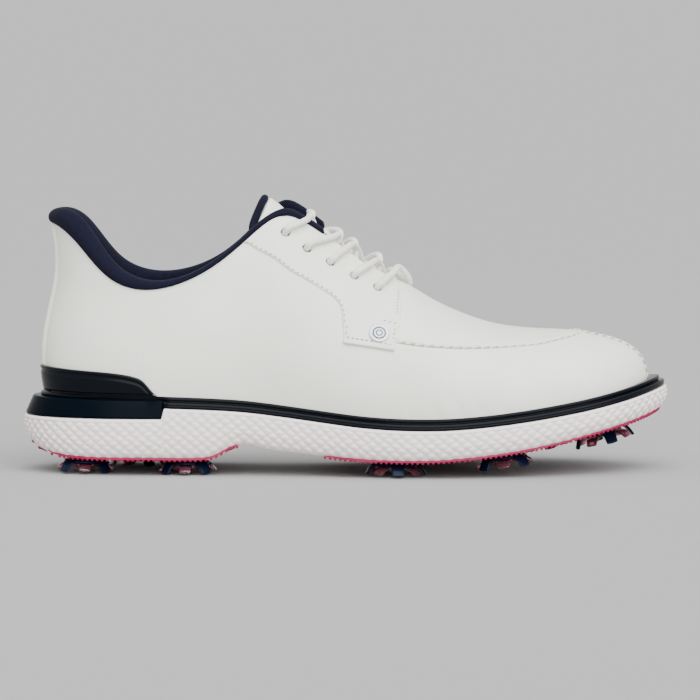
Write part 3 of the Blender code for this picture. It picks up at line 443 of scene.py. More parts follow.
def foam_paint():
    paint = Paint("foam_white", (0.80, 0.765, 0.77), 0.62, Subsurface_Weight=0.08)
    paint.shader.inputs["Subsurface Radius"].default_value = (0.004, 0.003, 0.003)
    # painted shade: where the height attribute is low, in the cells' valleys, the foam is tinted darker and
    # pinker
    valley_shade = paint.node("Attribute")
    valley_shade.attribute_name = "height"
    paint.tint(valley_shade.outputs["Fac"], (0.69, 0.600, 0.585), (0.835, 0.766, 0.752), 0.0, 0.5)
    paint.bump(paint.noise(1400, 3), 0.12, 0.00012)
    return paint.made


def rubber_paint():
    paint = Paint("outsole_pink", (0.34, 0.014, 0.078), 0.5, Specular_IOR_Level=0.2)
    paint.tint(paint.noise(120, 3), (0.26, 0.009, 0.052), (0.33, 0.013, 0.070), 0.3, 0.7)
    paint.bump(paint.noise(900, 2), 0.15, 0.0001)
    return paint.made


def lace_paint(name, low, high):
    paint = Paint(name, high, 0.82, Sheen_Weight=0.2, Sheen_Roughness=0.5)
    paint.tint(paint.noise(700, 3), low, high, 0.3, 0.7)
    paint.bump(paint.noise(2400, 2), 0.3, 0.0001)
    return paint.made


def plain_paint(name, colour, roughness, **sockets):
    paint = Paint(name, colour, roughness, **sockets)
    paint.rough(paint.noise(300, 2), roughness - 0.04, roughness + 0.06)
    paint.bump(paint.noise(800, 2), 0.08, 0.0001)
    return paint.made


PAINTS = {
    "leather": leather_paint("leather_white", (0.765, 0.775, 0.695), (0.80, 0.812, 0.735)),
    "thread": lace_paint("thread_beige", (0.34, 0.31, 0.25), (0.46, 0.43, 0.36)),
    "knit": knit_paint("knit_navy", (0.0018, 0.002, 0.0065), (0.0070, 0.0076, 0.0225), 420),
    "lining": knit_paint("lining_navy", (0.002, 0.0023, 0.008), (0.008, 0.009, 0.026), 300),
    "gloss": gloss_paint("gloss_navy", (0.0026, 0.0038, 0.0060), 0.22, 0.09),
    # painted shade: the wedge gets a darker, less shiny copy of the same gloss navy, so that its face reads
    # darker
    "wedge": gloss_paint("gloss_navy_wedge_shaded", (0.0010, 0.0028, 0.0054), 0.22, 0.025),
    "foam": foam_paint(),
    "rubber": rubber_paint(),
    "lace": lace_paint("lace_white", (0.70, 0.68, 0.63), (0.82, 0.81, 0.77)),
    "cleat": plain_paint("cleat_navy", (0.002, 0.005, 0.019), 0.30, Specular_IOR_Level=0.12),
    "clear": plain_paint("cleat_clear", (0.40, 0.13, 0.19), 0.10, Transmission_Weight=0.85, IOR=1.47),
    "enamel": plain_paint("snap_enamel", (0.72, 0.76, 0.80), 0.22, Coat_Weight=0.4),
    "ring": plain_paint("snap_ring", (0.045, 0.065, 0.12), 0.35, Specular_IOR_Level=0.2),
    "metal": plain_paint("snap_metal", (0.70, 0.73, 0.78), 0.22, Metallic=1.0),
    "board": plain_paint("board_tan", (0.42, 0.34, 0.25), 0.8),
}


# ---- meshes -----------------------------------------------------------------------------------------------
def quads(rows, columns, wrap_rows=False, wrap_columns=False, start=0):
    """Faces of a grid of points, closed along its rows or columns where that is asked."""
    i = np.arange(rows if wrap_rows else rows - 1)[:, None]
    j = np.arange(columns if wrap_columns else columns - 1)[None, :]
    k, m = (i + 1) % rows, (j + 1) % columns
    corners = [row * columns + column for row, column in ((i, j), (i, m), (k, m), (k, j))]
    return start + np.stack(np.broadcast_arrays(*corners), -1).reshape(-1, 4)


def capped(rows, columns, start=0):
    """Faces through rows of closed rings, with the first and the last ring filled."""
    end = start + rows * columns
    first, final = list(range(start, start + columns)), list(range(end - columns, end))
    return quads(rows, columns, False, True, start).tolist() + [first, final[::-1]]


def bridge(count, columns, column, middle):
    """Faces of a sheet between one column of a grid on both sides, over middle points that follow the grid."""
    here = np.arange(count)
    index = np.concatenate(
        [
            (here * columns + column)[:, None],
            2 * count * columns + np.arange(count * middle).reshape(count, middle),
            ((2 * count - 1 - here) * columns + column)[:, None],
        ],
        1,
    )
    return index.ravel()[quads(count, middle + 2)]


def add(name, points, faces, paint, body="shoe", stands_for=(), sharp=35, uv=None, height=None):
    """A mesh piece from points in millimetres, riding on a body."""
    points = np.asarray(points, float).reshape(-1, 3) * MM
    faces = [list(map(int, f)) for f in faces]
    corners = np.array([f[:3] for f in faces] + [[f[0], f[2], f[3]] for f in faces if len(f) == 4])
    a, b, c = (points[corners[:, i]] for i in range(3))
    if np.einsum("ij,ij->i", a, np.cross(b, c)).sum() < 0:
        faces = [f[::-1] for f in faces]
    mesh = bpy.data.meshes.new(name)
    mesh.from_pydata(points.tolist(), [], faces)
    used = np.empty(len(mesh.loops), int)
    mesh.loops.foreach_get("vertex_index", used)
    if uv is not None:
        layer = mesh.uv_layers.new(name="map")
        layer.data.foreach_set("uv", (np.asarray(uv, float).reshape(-1, 2) * MM)[used].ravel())
    # height becomes a point attribute; the foam's material reads it for its painted valley shade
    if height is not None:
        made_height = mesh.attributes.new("height", "FLOAT", "POINT")
        made_height.data.foreach_set("value", np.asarray(height, float).ravel())
    mesh.shade_smooth()
    mesh.set_sharp_from_angle(angle=math.radians(sharp))
    made = bpy.data.objects.new(name, mesh)
    bpy.context.scene.collection.objects.link(made)
    mesh.materials.append(PAINTS[paint])
    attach(made, body)
    if stands_for:
        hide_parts(*stands_for)
    return made


def sheet_parts(outer, inner, keep=None):
    """Points and faces of a closed sheet between two matching grids; keep is a mask of its cells."""
    rows, columns = outer.shape[:2]
    size = rows * columns
    top = quads(rows, columns)
    if keep is not None:
        top = top[keep.ravel()]
    ends = np.stack([top, np.roll(top, -1, 1)], -1).reshape(-1, 2)
    key, back = ends[:, 0] * size + ends[:, 1], ends[:, 1] * size + ends[:, 0]
    rim = ends[~np.isin(key, back)]
    sides = np.stack([rim[:, 1], rim[:, 0], size + rim[:, 0], size + rim[:, 1]], -1)
    points = np.concatenate([outer.reshape(-1, 3), inner.reshape(-1, 3)])
    return points, np.concatenate([top, size + top[:, ::-1], sides])


def compact(points, faces):
    """Drops the points that no face uses."""
    used, faces_new = np.unique(faces.ravel(), return_inverse=True)
    return points[used], faces_new.reshape(faces.shape), used


def grid_uv(grid):
    """A UV map in millimetres for a grid of points: along the rows and across them."""
    rows, columns = grid.shape[:2]
    along = runs(grid[:, columns // 2])
    across = runs(grid[rows // 2])
    return np.stack(np.broadcast_arrays(along[:, None], across[None, :]), -1)


def add_sheet(name, outer, inner, paint, keep=None, **options):
    points, faces = sheet_parts(outer, inner, keep)
    uv = np.concatenate([grid_uv(outer).reshape(-1, 2)] * 2)
    points, faces, used = compact(points, faces)
    return add(name, points, faces, paint, uv=uv[used], **options)


def add_sweep(name, sections, paint, closed=False, **options):
    """A solid through matching closed sections."""
    sections = np.asarray(sections)
    rows, columns = sections.shape[:2]
    faces = quads(rows, columns, True, True) if closed else capped(rows, columns)
    return add(name, sections, faces, paint, uv=grid_uv(sections), **options)


def add_tube(name, path, radius, paint, sides, **options):
    """A round bar with round ends along a path; its radius is a number or a function of (run, angle)."""
    path = np.asarray(path, float)
    way = unit(np.gradient(path, axis=0))
    side = np.zeros_like(way)
    side[0] = unit(np.cross(way[0], [0.3, 0.2, 1.0]))
    for i in range(1, len(path)):
        side[i] = unit(side[i - 1] - way[i] * np.dot(side[i - 1], way[i]))
    other = np.cross(way, side)
    angle = np.linspace(0, 2 * math.pi, sides, endpoint=False)
    run = runs(path)
    size = radius(run[:, None], angle[None, :]) if callable(radius) else np.full((len(path), sides), radius)
    reach = np.minimum(run, run[-1] - run)[:, None]
    size = size * np.sqrt(np.clip(1 - (1 - np.clip(reach / size, 0.02, 1)) ** 2, 0.01, 1))
    ring = side[:, None] * np.cos(angle)[None, :, None] + other[:, None] * np.sin(angle)[None, :, None]
    return add_sweep(name, path[:, None] + ring * size[..., None], paint, **options)


def even(path, spacing):
    """The path with points evenly spaced."""
    run = runs(path)
    at = np.linspace(0, run[-1], max(int(run[-1] / spacing), 2) + 1)
    return np.stack([np.interp(at, run, path[:, i]) for i in range(path.shape[1])], -1)


def lip(distance, radius):
    """How far an edge of that radius falls at a distance in from it."""
    inside = np.clip(distance / radius, 0, 1)
    return -radius * (1 - np.sqrt(1 - (1 - inside) ** 2))


def edge_distance(grid):
    """Each grid point's distance from the grid's outline, roughly, along its row and column."""
    u, v = climbs(grid, 0), climbs(grid, 1)
    return np.minimum(np.minimum(u, u[-1:] - u), np.minimum(v, v[:, -1:] - v))


# ---- thread -----------------------------------------------------------------------------------------------
def surface_line(path, side="lateral", depth=0.0, count=600):
    """A fine line over the surface through (w, t) points: its points, and its own w and t."""
    curve = through(path)
    w, t = np.moveaxis(curve(np.linspace(0, len(path) - 1, count)), -1, 0)
    w = to_side(w, side)
    return skin(w, t, depth), w, t


def stitches(name, line, w, t, pitch, length, radius, lift=0.0, slant=0.0, paint="thread", **options):
    """A row of stitches along a line on the surface."""
    run = runs(line)
    count = max(int(run[-1] / pitch), 1)
    at = (np.arange(count) + 0.5) * run[-1] / count
    spots = np.stack([np.interp(at, run, line[:, i]) for i in range(3)], -1)
    ahead = np.stack([np.interp(at + 0.4, run, line[:, i]) for i in range(3)], -1)
    behind = np.stack([np.interp(at - 0.4, run, line[:, i]) for i in range(3)], -1)
    up = normal(np.interp(at, run, w), np.interp(at, run, t))
    way = unit(ahead - behind)
    across = unit(np.cross(up, way))
    way = unit(way * math.cos(math.radians(slant)) + across * math.sin(math.radians(slant)))
    across = unit(np.cross(up, way))
    along = np.linspace(-1, 1, 9)
    angle = np.linspace(0, 2 * math.pi, 8, endpoint=False)
    girth = radius * np.sqrt(np.clip(1 - np.abs(along) ** 3.0, 0.02, 1))
    core = (
        spots[:, None]
        + way[:, None] * (along * length / 2)[None, :, None]
        + up[:, None] * (lift + radius * 0.9 * (1 - along**2) - radius * 0.5)[None, :, None]
    )
    ring = (
        across[:, None, None] * np.cos(angle)[None, None, :, None]
        + up[:, None, None] * np.sin(angle)[None, None, :, None]
    )
    points = core[:, :, None] + ring * girth[None, :, None, None]
    size = len(along) * len(angle)
    faces = []
    for k in range(count):
        faces += capped(len(along), len(angle), k * size)
    return add(name, points, faces, paint, sharp=80, **options)


def scatter(name, points, faces, origins, axes, paint, **options):
    """Copies of one small closed shape: origins (n, 3), axes (n, 3, 3) as rows x, y, z."""
    size = len(points)
    placed = origins[:, None] + np.einsum("vi,nij->nvj", points, axes)
    copies = [tuple(v + k * size for v in face) for k in range(len(origins)) for face in faces]
    return add(name, placed, copies, paint, **options)


def rounded_square(sides, square, turn=0.0):
    """A unit outline's cosines and sines: round at square 0, and squarer above."""
    angle = np.linspace(0, 2 * math.pi, sides, endpoint=False) + turn
    c, s = np.cos(angle), np.sin(angle)
    power = 2 / (2 + 4 * square)
    return np.sign(c) * np.abs(c) ** power, np.sign(s) * np.abs(s) ** power


def stack_shape(levels, sides, square):
    """A small shape from levels of (half length, half width, height)."""
    c, s = rounded_square(sides, square, math.pi / sides)
    points = np.concatenate([np.stack([c * a, s * b, np.full(sides, h)], -1) for a, b, h in levels])
    return points, capped(len(levels), sides)


def turned(profile, sides):
    """Points and faces of a turned shape: profile of (radius, height), with closed ends."""
    angle = np.linspace(0, 2 * math.pi, sides, endpoint=False)
    c, s = np.cos(angle), np.sin(angle)
    points = np.concatenate([np.stack([c * r, s * r, np.full(sides, h)], -1) for r, h in profile])
    return points, capped(len(profile), sides)


# ---- the camera, the floor and the light ------------------------------------------------------------------
def make_stage():
    floor_tone = Paint("floor_grey", (0.335, 0.335, 0.335), 0.95, Specular_IOR_Level=0.1)
    floor_tone.bump(floor_tone.noise(60, 2), 0.02, 0.0002)
    size = 150.0
    corners = [(-size, -size, 0), (size, -size, 0), (size, size, 0), (-size, size, 0)]
    mesh = bpy.data.meshes.new("floor")
    mesh.from_pydata(corners, [], [(0, 1, 2, 3)])
    mesh.materials.append(floor_tone.made)
    floor = bpy.data.objects.new("floor", mesh)
    bpy.context.scene.collection.objects.link(floor)

    world = bpy.data.worlds.new("studio")
    bpy.context.scene.world = world
    world.use_nodes = True
    world.node_tree.nodes["Background"].inputs["Color"].default_value = (1, 1, 1, 1)
    world.node_tree.nodes["Background"].inputs["Strength"].default_value = 1.0

    def lamp(name, place, aim, width, depth, power):
        data = bpy.data.lights.new(name, "AREA")
        data.shape = "RECTANGLE"
        data.size, data.size_y, data.energy = width, depth, power
        made = bpy.data.objects.new(name, data)
        made.location = place
        made.rotation_euler = (Vector(aim) - Vector(place)).to_track_quat("-Z", "Y").to_euler()
        bpy.context.scene.collection.objects.link(made)

    def sun(name, azimuth, elevation, spread, strength):
        """Soft light from far away: azimuth 0 comes from the camera's side, and grows towards the toe."""
        data = bpy.data.lights.new(name, "SUN")
        data.energy, data.angle = strength, math.radians(spread)
        made = bpy.data.objects.new(name, data)
        a, e = math.radians(azimuth), math.radians(elevation)
        way = Vector((math.sin(a) * math.cos(e), -math.cos(a) * math.cos(e), math.sin(e)))
        made.rotation_euler = way.to_track_quat("Z", "Y").to_euler()
        bpy.context.scene.collection.objects.link(made)

    sun("front", 18, 31, 80, 5.0)
    sun("overhead", 30, 74, 50, 1.7)
    lamp("strip", (-0.2, -0.7, 1.1), (0, 0, 0.03), 1.3, 0.25, 2.5)

    data = bpy.data.cameras.new("camera")
    data.sensor_width, data.lens, data.clip_end = 36, 252, 400
    camera = bpy.data.objects.new("camera", data)
    aim, distance, elevation = Vector((0.0021, 0, 0.056)), 2.3, math.radians(4.25)
    camera.location = aim + Vector((0, -math.cos(elevation), math.sin(elevation))) * distance
    camera.rotation_euler = (aim - camera.location).to_track_quat("-Z", "Y").to_euler()
    bpy.context.scene.collection.objects.link(camera)
    bpy.context.scene.camera = camera


make_stage()


# ---- the sole ---------------------------------------------------------------------------------------------
# the heel's wedge ends in a notch here, and its front face stands a little ahead
NOTCH_X = -84.6
STEP_W = w_at(NOTCH_X + 0.6)


def even_ws(count, low=0.0, high=1.0):
    """Lateral w evenly spaced along the sole's edge, at the middles of count steps."""
    fine = np.linspace(low, high, 4001)
    run = runs(edge(fine, 0))
    return np.interp((np.arange(count) + 0.5) / count * run[-1], run, fine)


def cells(along, up, width=5.5, height=4.35):
    """A quilt of soft rhombic cells: 0 in the valleys, 1 on top of a cell."""
    along = along + 0.25 * np.sin(up * 0.9 + along * 0.13)
    up = up + 0.16 * np.sin(along * 0.41)
    a, b = along / width + up / height, along / width - up / height
    return np.abs(np.sin(math.pi * a) * np.sin(math.pi * b)) ** 0.85


def midsole_ceiling(x):
    """The foam's top: under the welt, and lower under the heel's wedge."""
    low = WEDGE_BASE_Z - 0.3
    return low + (foam_top(x) + 0.25 - low) * smooth(NOTCH_X - 0.8, NOTCH_X + 0.8, x)


def build_midsole():
    half = even_ws(640)
    ws = both_sides(half)
    share = np.concatenate([[0, 0.02], np.linspace(0.05, 0.93, 42), [0.955, 0.975, 0.99, 1.0, 1.0, 1.0]])
    profile = [(0, 4.2), (0.06, 2.2), (0.16, 1.0), (0.35, 0.35), (0.62, 0.25), (0.92, 0.75), (1.0, 1.2)]
    inset = spline(profile)(share)
    inset[-5:] += (0.1, 0.3, 0.7, 2.0, 7.0)
    x0 = station(ws)[:, 0]
    grid = np.stack([edge(ws, k) for k in inset], 1)
    low, high = foam_bottom(grid[..., 0]), midsole_ceiling(grid[..., 0])
    lift = 1.2 * smooth(0, 0.16, share) * (1 - smooth(0.16, 0.6, share))
    grid[..., 2] = low + (high - low) * share + lift
    along = runs(edge(ws, 0))[:, None]
    up = high - grid[..., 2]
    quilt = cells(along, up - 0.6)
    rim = smooth(1.0, 2.0, up) * smooth(-0.2, 0.6, grid[..., 2] - low)
    above = smooth(26.0, 28.0, grid[..., 2])
    beside = (grid[..., 0] - NOTCH_X) * above + 9 * (1 - above)
    rim = rim * smooth(1.2, 2.4, np.abs(beside))
    deep = 0.58 + 0.45 * smooth(112, 140, np.abs(x0 - 2))[:, None]
    across = outward(ws)[:, None] * np.ones_like(grid)
    grid = grid + across * (rim * deep * (quilt - 0.8) + 0.18 * (1 - rim))[..., None]
    # height runs from 0 in the cells' valleys to 1 on their tops and on the smooth rim; foam_paint turns low
    # height into painted valley shade
    height = 1 - rim * (1 - quilt)
    count = len(half)

    # the underside, between matching points of the two sides
    shares = np.linspace(0, 1, 38)[None, 1:-1, None]
    left, right = grid[:count, 0][:, None], grid[: count - 1 : -1, 0][:, None]
    under = left + (right - left) * shares
    under[..., 2] = foam_bottom(under[..., 0])
    reach = np.minimum(shares[..., 0], 1 - shares[..., 0]) * np.linalg.norm(right - left, axis=-1)
    arch = smooth(-66, -56, under[..., 0]) * (1 - smooth(-14, -6, under[..., 0])) * smooth(0.2, 2.0, reach)
    quilt = cells(under[..., 0], under[..., 1])
    under[..., 2] -= arch * 0.5 * (quilt - 0.75)
    points = np.concatenate([grid.reshape(-1, 3), under.reshape(-1, 3)])
    # the arch's cells under the foam get the same painted valley shade
    height = np.concatenate([height.ravel(), (1 - arch * (1 - quilt)).ravel()])
    columns = grid.shape[1]
    faces = quads(len(ws), columns, True, False).tolist()
    faces += bridge(count, columns, 0, under.shape[1])[:, ::-1].tolist()
    faces.append(list(range(columns - 1, len(ws) * columns, columns)))
    add("midsole_foam", points, faces, "foam", sharp=60, height=height, stands_for=["midsole"])


def outsole_grid(ws, inset, drop, columns, curl=0.0):
    """Rows across the sole between the two sides at w."""
    inset = inset + 3.2 * (1 - smooth(-142, -130, station(ws)[:, 0]))
    left, right = edge(ws, inset), edge(2 - ws, inset)
    shares = crowded(columns)[None, :, None]
    grid = left[:, None] + (right - left)[:, None] * shares
    grid[..., 2] = foam_bottom(grid[..., 0]) - drop
    out = np.minimum(shares[..., 0], 1 - shares[..., 0]) * np.linalg.norm(right - left, axis=-1)[:, None]
    grid[..., 2] += curl * (1 - smooth(0, 3.0, out))
    return grid


def foam_slope(x, reach):
    """The slope of the foam's underside."""
    return (foam_bottom(x + reach) - foam_bottom(x - reach)) / (2 * reach)


def downward(spots):
    """Axes that point down from spots under the foam and follow its slope."""
    axes = np.stack([np.eye(3)] * len(spots)) * np.array([1, 1, -1])[:, None]
    axes[:, 0, 2] = foam_slope(spots[:, 0], 2)
    return axes


def build_outsole(name, low, high):
    lead = np.array([0, 0.0006, 0.0015])
    ws = np.concatenate([low + lead, np.linspace(low + 0.003, high - 0.003, 150), high - lead[::-1]])
    inner = outsole_grid(ws, 3.3, -0.5, 40, 0.15)
    outer = outsole_grid(ws, 3.1, 0.58, 40, 0.15)
    outer[..., 2] += 0.95 * (1 - smooth(-142, -131, outer[..., 0])) + 0.35 * smooth(138, 147, outer[..., 0])
    add_sheet(name, outer, inner, "rubber", stands_for=[name], sharp=40)

    # a row of studs round the edge, and lugs over the middle
    fine = np.linspace(low, high, 1200)
    spots = []
    for side in SIDES:
        path = even(edge(to_side(fine, side), 4.2), 2.4)
        spots.append(path[(path[:, 0] > -133) | (np.arange(len(path)) % 4 == 1)])
    spots = np.concatenate(spots)
    spots[:, 2] = foam_bottom(spots[:, 0]) - 0.3
    shape = stack_shape([(0.66, 0.9, 0.0), (0.62, 0.85, 0.7), (0.5, 0.7, 0.95), (0.3, 0.4, 1.02)], 10, 0.5)
    scatter(name + "_studs", *shape, spots, downward(spots), "rubber", sharp=40)

    x_low, x_high = sorted((station(low)[0], station(high)[0]))
    lugs = []
    for i, x in enumerate(np.arange(x_low - 8, x_high + 8, 5.2)):
        for y in np.arange(-60, 60, 6.0) + 3.0 * (i % 2):
            if all(math.hypot(x - c[1], y - c[2]) >= CLEAT_CLEAR for c in CLEATS):
                lugs.append((x, y, foam_bottom(x) - 0.4))
    lugs = np.array(lugs)
    rims = [edge(to_side(fine, side), 6.2) for side in SIDES]
    rims = [rim[np.argsort(rim[:, 0])] for rim in rims]
    right, left = (np.interp(lugs[:, 0], rim[:, 0], rim[:, 1]) for rim in rims)
    inside = (lugs[:, 1] > right + 2.6) & (lugs[:, 1] < left - 2.6)
    ends = np.concatenate(rims)[:, 0]
    inside &= (lugs[:, 0] > ends.min() + 2.5) & (lugs[:, 0] < ends.max() - 2.5)
    lugs = lugs[inside]
    shape = stack_shape([(2.1, 1.6, 0.0), (2.0, 1.5, 0.8), (1.7, 1.2, 1.15)], 6, 0.0)
    scatter(name + "_lugs", *shape, lugs, downward(lugs), "rubber", sharp=40)


def section_loop(points, count, rounding):
    """A closed section through corner points, each rounded by its own radius with count points."""
    corners = points.shape[1]
    made = []
    for i in range(corners):
        before, here, after = points[:, i - 1], points[:, i], points[:, (i + 1) % corners]
        ends = []
        for other in (before, after):
            length = np.linalg.norm(other - here, axis=-1)[:, None]
            ends.append(here + unit(other - here) * np.minimum(rounding[i], length * 0.48))
        for v in np.linspace(0, 1, count):
            made.append((1 - v) ** 2 * ends[0] + 2 * v * (1 - v) * here + v * v * ends[1])
    return np.stack(made, 1)


def build_wedge():
    step = STEP_W + 0.002
    half = even_ws(170, step, 1.0)
    half = np.concatenate([[step, step + 0.0008], half])
    ws = both_sides(half)
    front = smooth(NOTCH_X - 9, NOTCH_X, station(ws)[:, 0])
    corners = [
        edge(ws, 1.3, WEDGE_BASE_Z),
        edge(ws, 1.25, WEDGE_BASE_Z + 0.9),
        edge(ws, 4.7 - 1.6 * front, lambda x: foam_top(x) + 3.6),
        edge(ws, 12.0, lambda x: foam_top(x) + 3.9),
        edge(ws, 12.0, WEDGE_BASE_Z),
    ]
    sections = section_loop(np.stack(corners, 1), 5, [0.4, 0.5, 0.7, 0.3, 0.3])
    # its paint is the darker copy of the gloss navy: painted shade on the wedge's face
    add_sweep("heel_wedge_block", sections, "wedge", stands_for=["heel_wedge"], sharp=50)


def build_welt():
    half = even_ws(300)
    ws = both_sides(half)
    x0 = station(ws)[:, 0]
    heel = 1 - smooth(NOTCH_X - 3, NOTCH_X + 3, x0)
    base = foam_top(x0)

    def ring(inset, rise):
        return edge(ws, inset, lambda x: foam_top(x) + rise)

    def wall(rise):
        return skin(ws, t_at(ws, base + rise), 0.35)

    # the lips' outline: inset and rise at the forefoot, each with its change at the heel
    lips = [
        (2.75, 0.0, 0.25, 0.0), (1.80, 0.0, 0.35, 0.0), (1.53, 0.0, 0.9, 0.0), (1.53, 0.25, 1.55, 0.0),
        (1.65, 0.25, 1.70, 0.0), (1.53, 0.35, 1.85, 0.0), (1.57, 0.50, 2.45, 0.2), (1.90, 0.55, 2.95, 0.3),
        (2.55, 0.60, 3.15, 0.4), (4.05, 0.0, 3.2, 0.4), (5.0, 0.8, 3.25, 0.4), (5.05, 0.8, 3.65, 0.2),
        (4.15, 0.0, 3.75, 0.1), (3.9, 0.0, 4.2, 0.0), (3.92, 0.0, 4.9, 0.0), (4.25, 0.0, 5.35, 0.0),
        (4.8, 0.0, 5.5, 0.0),
    ]
    points = [ring(inset + (4.2 + grow) * heel, rise + lift * heel) for inset, grow, rise, lift in lips]
    back = 1 - smooth(-94, -87, x0)
    points += [wall(5.6 + 2.6 * back), wall(3.0), wall(0.3)]
    add_sweep("welt_lips", np.stack(points, 1), "gloss", closed=True, stands_for=["welt"], sharp=50)


def build_stabilizer():
    top = spline(STABILIZER_TOP)
    half = np.concatenate([np.linspace(w_at(-79.5), 0.79, 46)[:-1], np.linspace(0.79, 1.0, 150)])
    ws = np.concatenate([half, 2 - half[-2::-1]])
    x0 = station(ws)[:, 0]
    base = foam_top(x0)
    low, high = t_at(ws, base + 6.7), t_at(ws, top(x0))
    low = np.minimum(low, high - 0.002)
    shares = np.concatenate([[0, 0.03, 0.07, 0.12], np.linspace(0.18, 0.70, 12), np.linspace(0.74, 1.0, 18)])
    t = low[:, None] + (high - low)[:, None] * shares
    climb = climbs(last(ws[:, None], t), 1)
    from_top = climb[:, -1:] - climb
    swell = 2.05 + lip(from_top, 0.75) + lip(climb, 0.5)
    swell = swell - 0.42 * smooth(1.1, 1.5, from_top) * (1 - smooth(2.3, 3.4, from_top))
    outer = skin(ws[:, None], t, np.maximum(swell, 0.6))
    inner = skin(ws[:, None], t, 0.15)
    add_sheet("heel_stabilizer_shell", outer, inner, "gloss", stands_for=["heel_stabilizer"], sharp=60)


build_midsole()
build_outsole("outsole_heel", w_at(-50.0), 0.9999)
build_outsole("outsole_forefoot", 0.0001, w_at(-9.0))
build_wedge()
build_welt()
build_stabilizer()


# ---- the upper --------------------------------------------------------------------------------------------
def eyelet(index, side):
    """A hole's centre on the base panel and its outward direction."""
    w, t = find(*EYELETS[index])
    w = to_side(w, side)
    return skin(w, t), normal(w, t)


def hole_radius(points, axes):
    """Each point's distance from the nearest of some axes."""
    best = np.full(points.shape[:-1], 1e9)
    for centre, way in axes:
        gap = points - centre
        gap = gap - (gap @ way)[..., None] * way
        best = np.minimum(best, np.linalg.norm(gap, axis=-1))
    return best


def open_holes(outer, inner, axes, radius):
    """A mask that leaves holes round the axes, with the holes' rims moved onto true circles."""
    middle = (outer[:-1, :-1] + outer[1:, 1:] + outer[1:, :-1] + outer[:-1, 1:]) / 4
    keep = hole_radius(middle, axes) > radius
    padded = np.zeros(outer.shape[:2], bool)
    touched = np.zeros(outer.shape[:2], bool)
    for a in (0, 1):
        for b in (0, 1):
            rows, columns = slice(a, outer.shape[0] - 1 + a), slice(b, outer.shape[1] - 1 + b)
            padded[rows, columns] |= keep
            touched[rows, columns] |= ~keep
    rim = padded & touched
    for grid in (outer, inner):
        for centre, way in axes:
            gap = grid - centre
            along = (gap @ way)[..., None] * way
            flat = gap - along
            size = np.linalg.norm(flat, axis=-1)
            move = rim & (size < radius * 1.5)
            grid[move] = (centre + along + flat * (radius / np.maximum(size, 1e-6))[..., None])[move]
    return keep


AXES = {side: [eyelet(i, side) for i in range(5)] for side in SIDES}
BUTTON_WT = find(*BUTTON)
BUTTON_AXIS = (skin(*BUTTON_WT), normal(*BUTTON_WT))


def creases(spots):
    """Soft wrinkles low on the forefoot, where the shoe bends, and the leather's slight waves."""
    x, z = spots[..., 0], spots[..., 2]
    deep = np.zeros(x.shape)
    for centre, lean, width, low, high, depth in (
        (62, 0.50, 2.6, 27, 40, 0.28), (52, 0.35, 3.0, 26, 43, 0.30), (41, 0.2, 2.6, 26, 39, 0.24),
        (30, -0.1, 3.2, 27, 42, 0.22), (74, 0.6, 2.8, 28, 38, 0.20), (19, -0.3, 3.4, 27, 38, 0.16),
    ):
        line = x - centre + lean * (z - 33)
        fade = smooth(low - 2, low + 3, z) * (1 - smooth(high - 8, high, z))
        deep += depth * np.exp(-((line / width) ** 2)) * fade
    waves = 0.10 * np.sin(x / 7.0 + z / 11.0) * np.sin(z / 8.5 - x / 23.0 + 1.0)
    return waves - deep


def build_side_panel(side):
    toe = [0.0012, 0.0018, 0.0028, 0.0042, 0.006]
    half = np.concatenate([toe, np.linspace(0.0085, 0.4168, 180), [0.4180], np.linspace(0.4200, 0.9925, 210)])
    throat = int((half < THROAT_W).sum())
    seam = np.where(half < THROAT_W, seam_t(half) - 0.0045, seam_t(np.array(THROAT_W)))
    lower = np.concatenate([np.linspace(0, 0.90, 40), [0.93, 0.955, 0.972, 0.984, 0.993, 1.0]])
    upper = np.linspace(0, 1, 30)[1:]
    t = np.concatenate([seam[:, None] * lower, seam[:, None] + (1 - seam[:, None]) * upper], 1)
    t = np.minimum(t, 1)
    last_lower = len(lower) - 1
    w = to_side(half, side)[:, None] + 0 * t
    spots = last(w, t)
    climb, ahead = climbs(spots, 1), climbs(spots, 0)
    from_seam = np.abs(climb[:, last_lower : last_lower + 1] - climb)
    front = (half < THROAT_W)[:, None]
    depth = creases(spots) * smooth(2, 8, ahead) * smooth(2, 7, climb)
    depth += front * (0.30 * np.exp(-(((from_seam - 1.9) / 1.2) ** 2)) + 1.1 * lip(from_seam, 0.9))
    depth += 0.45 * np.exp(-(((ahead - 0.9) / 1.3) ** 2)) + 0.7 * lip(ahead + 0.1, 0.7)
    depth -= 0.75 * smooth(0.972, 0.990, half)[:, None]
    outer = skin(w, t, depth)
    inner = skin(w, t, np.minimum(-1.4, depth - 0.3))
    keep = np.ones((len(half) - 1, t.shape[1] - 1), bool)
    keep[:throat, last_lower:] = False
    middle = (outer[:-1, :-1] + outer[1:, 1:]) / 2
    keep &= hole_radius(middle, AXES[side]) > EYELET_R + 0.3
    if side == "lateral":
        keep &= hole_radius(middle, [BUTTON_AXIS]) > 2.0
    add_sheet("side_leather_" + side, outer, inner, "leather", keep, sharp=50,
              stands_for=["side_panel_" + side])


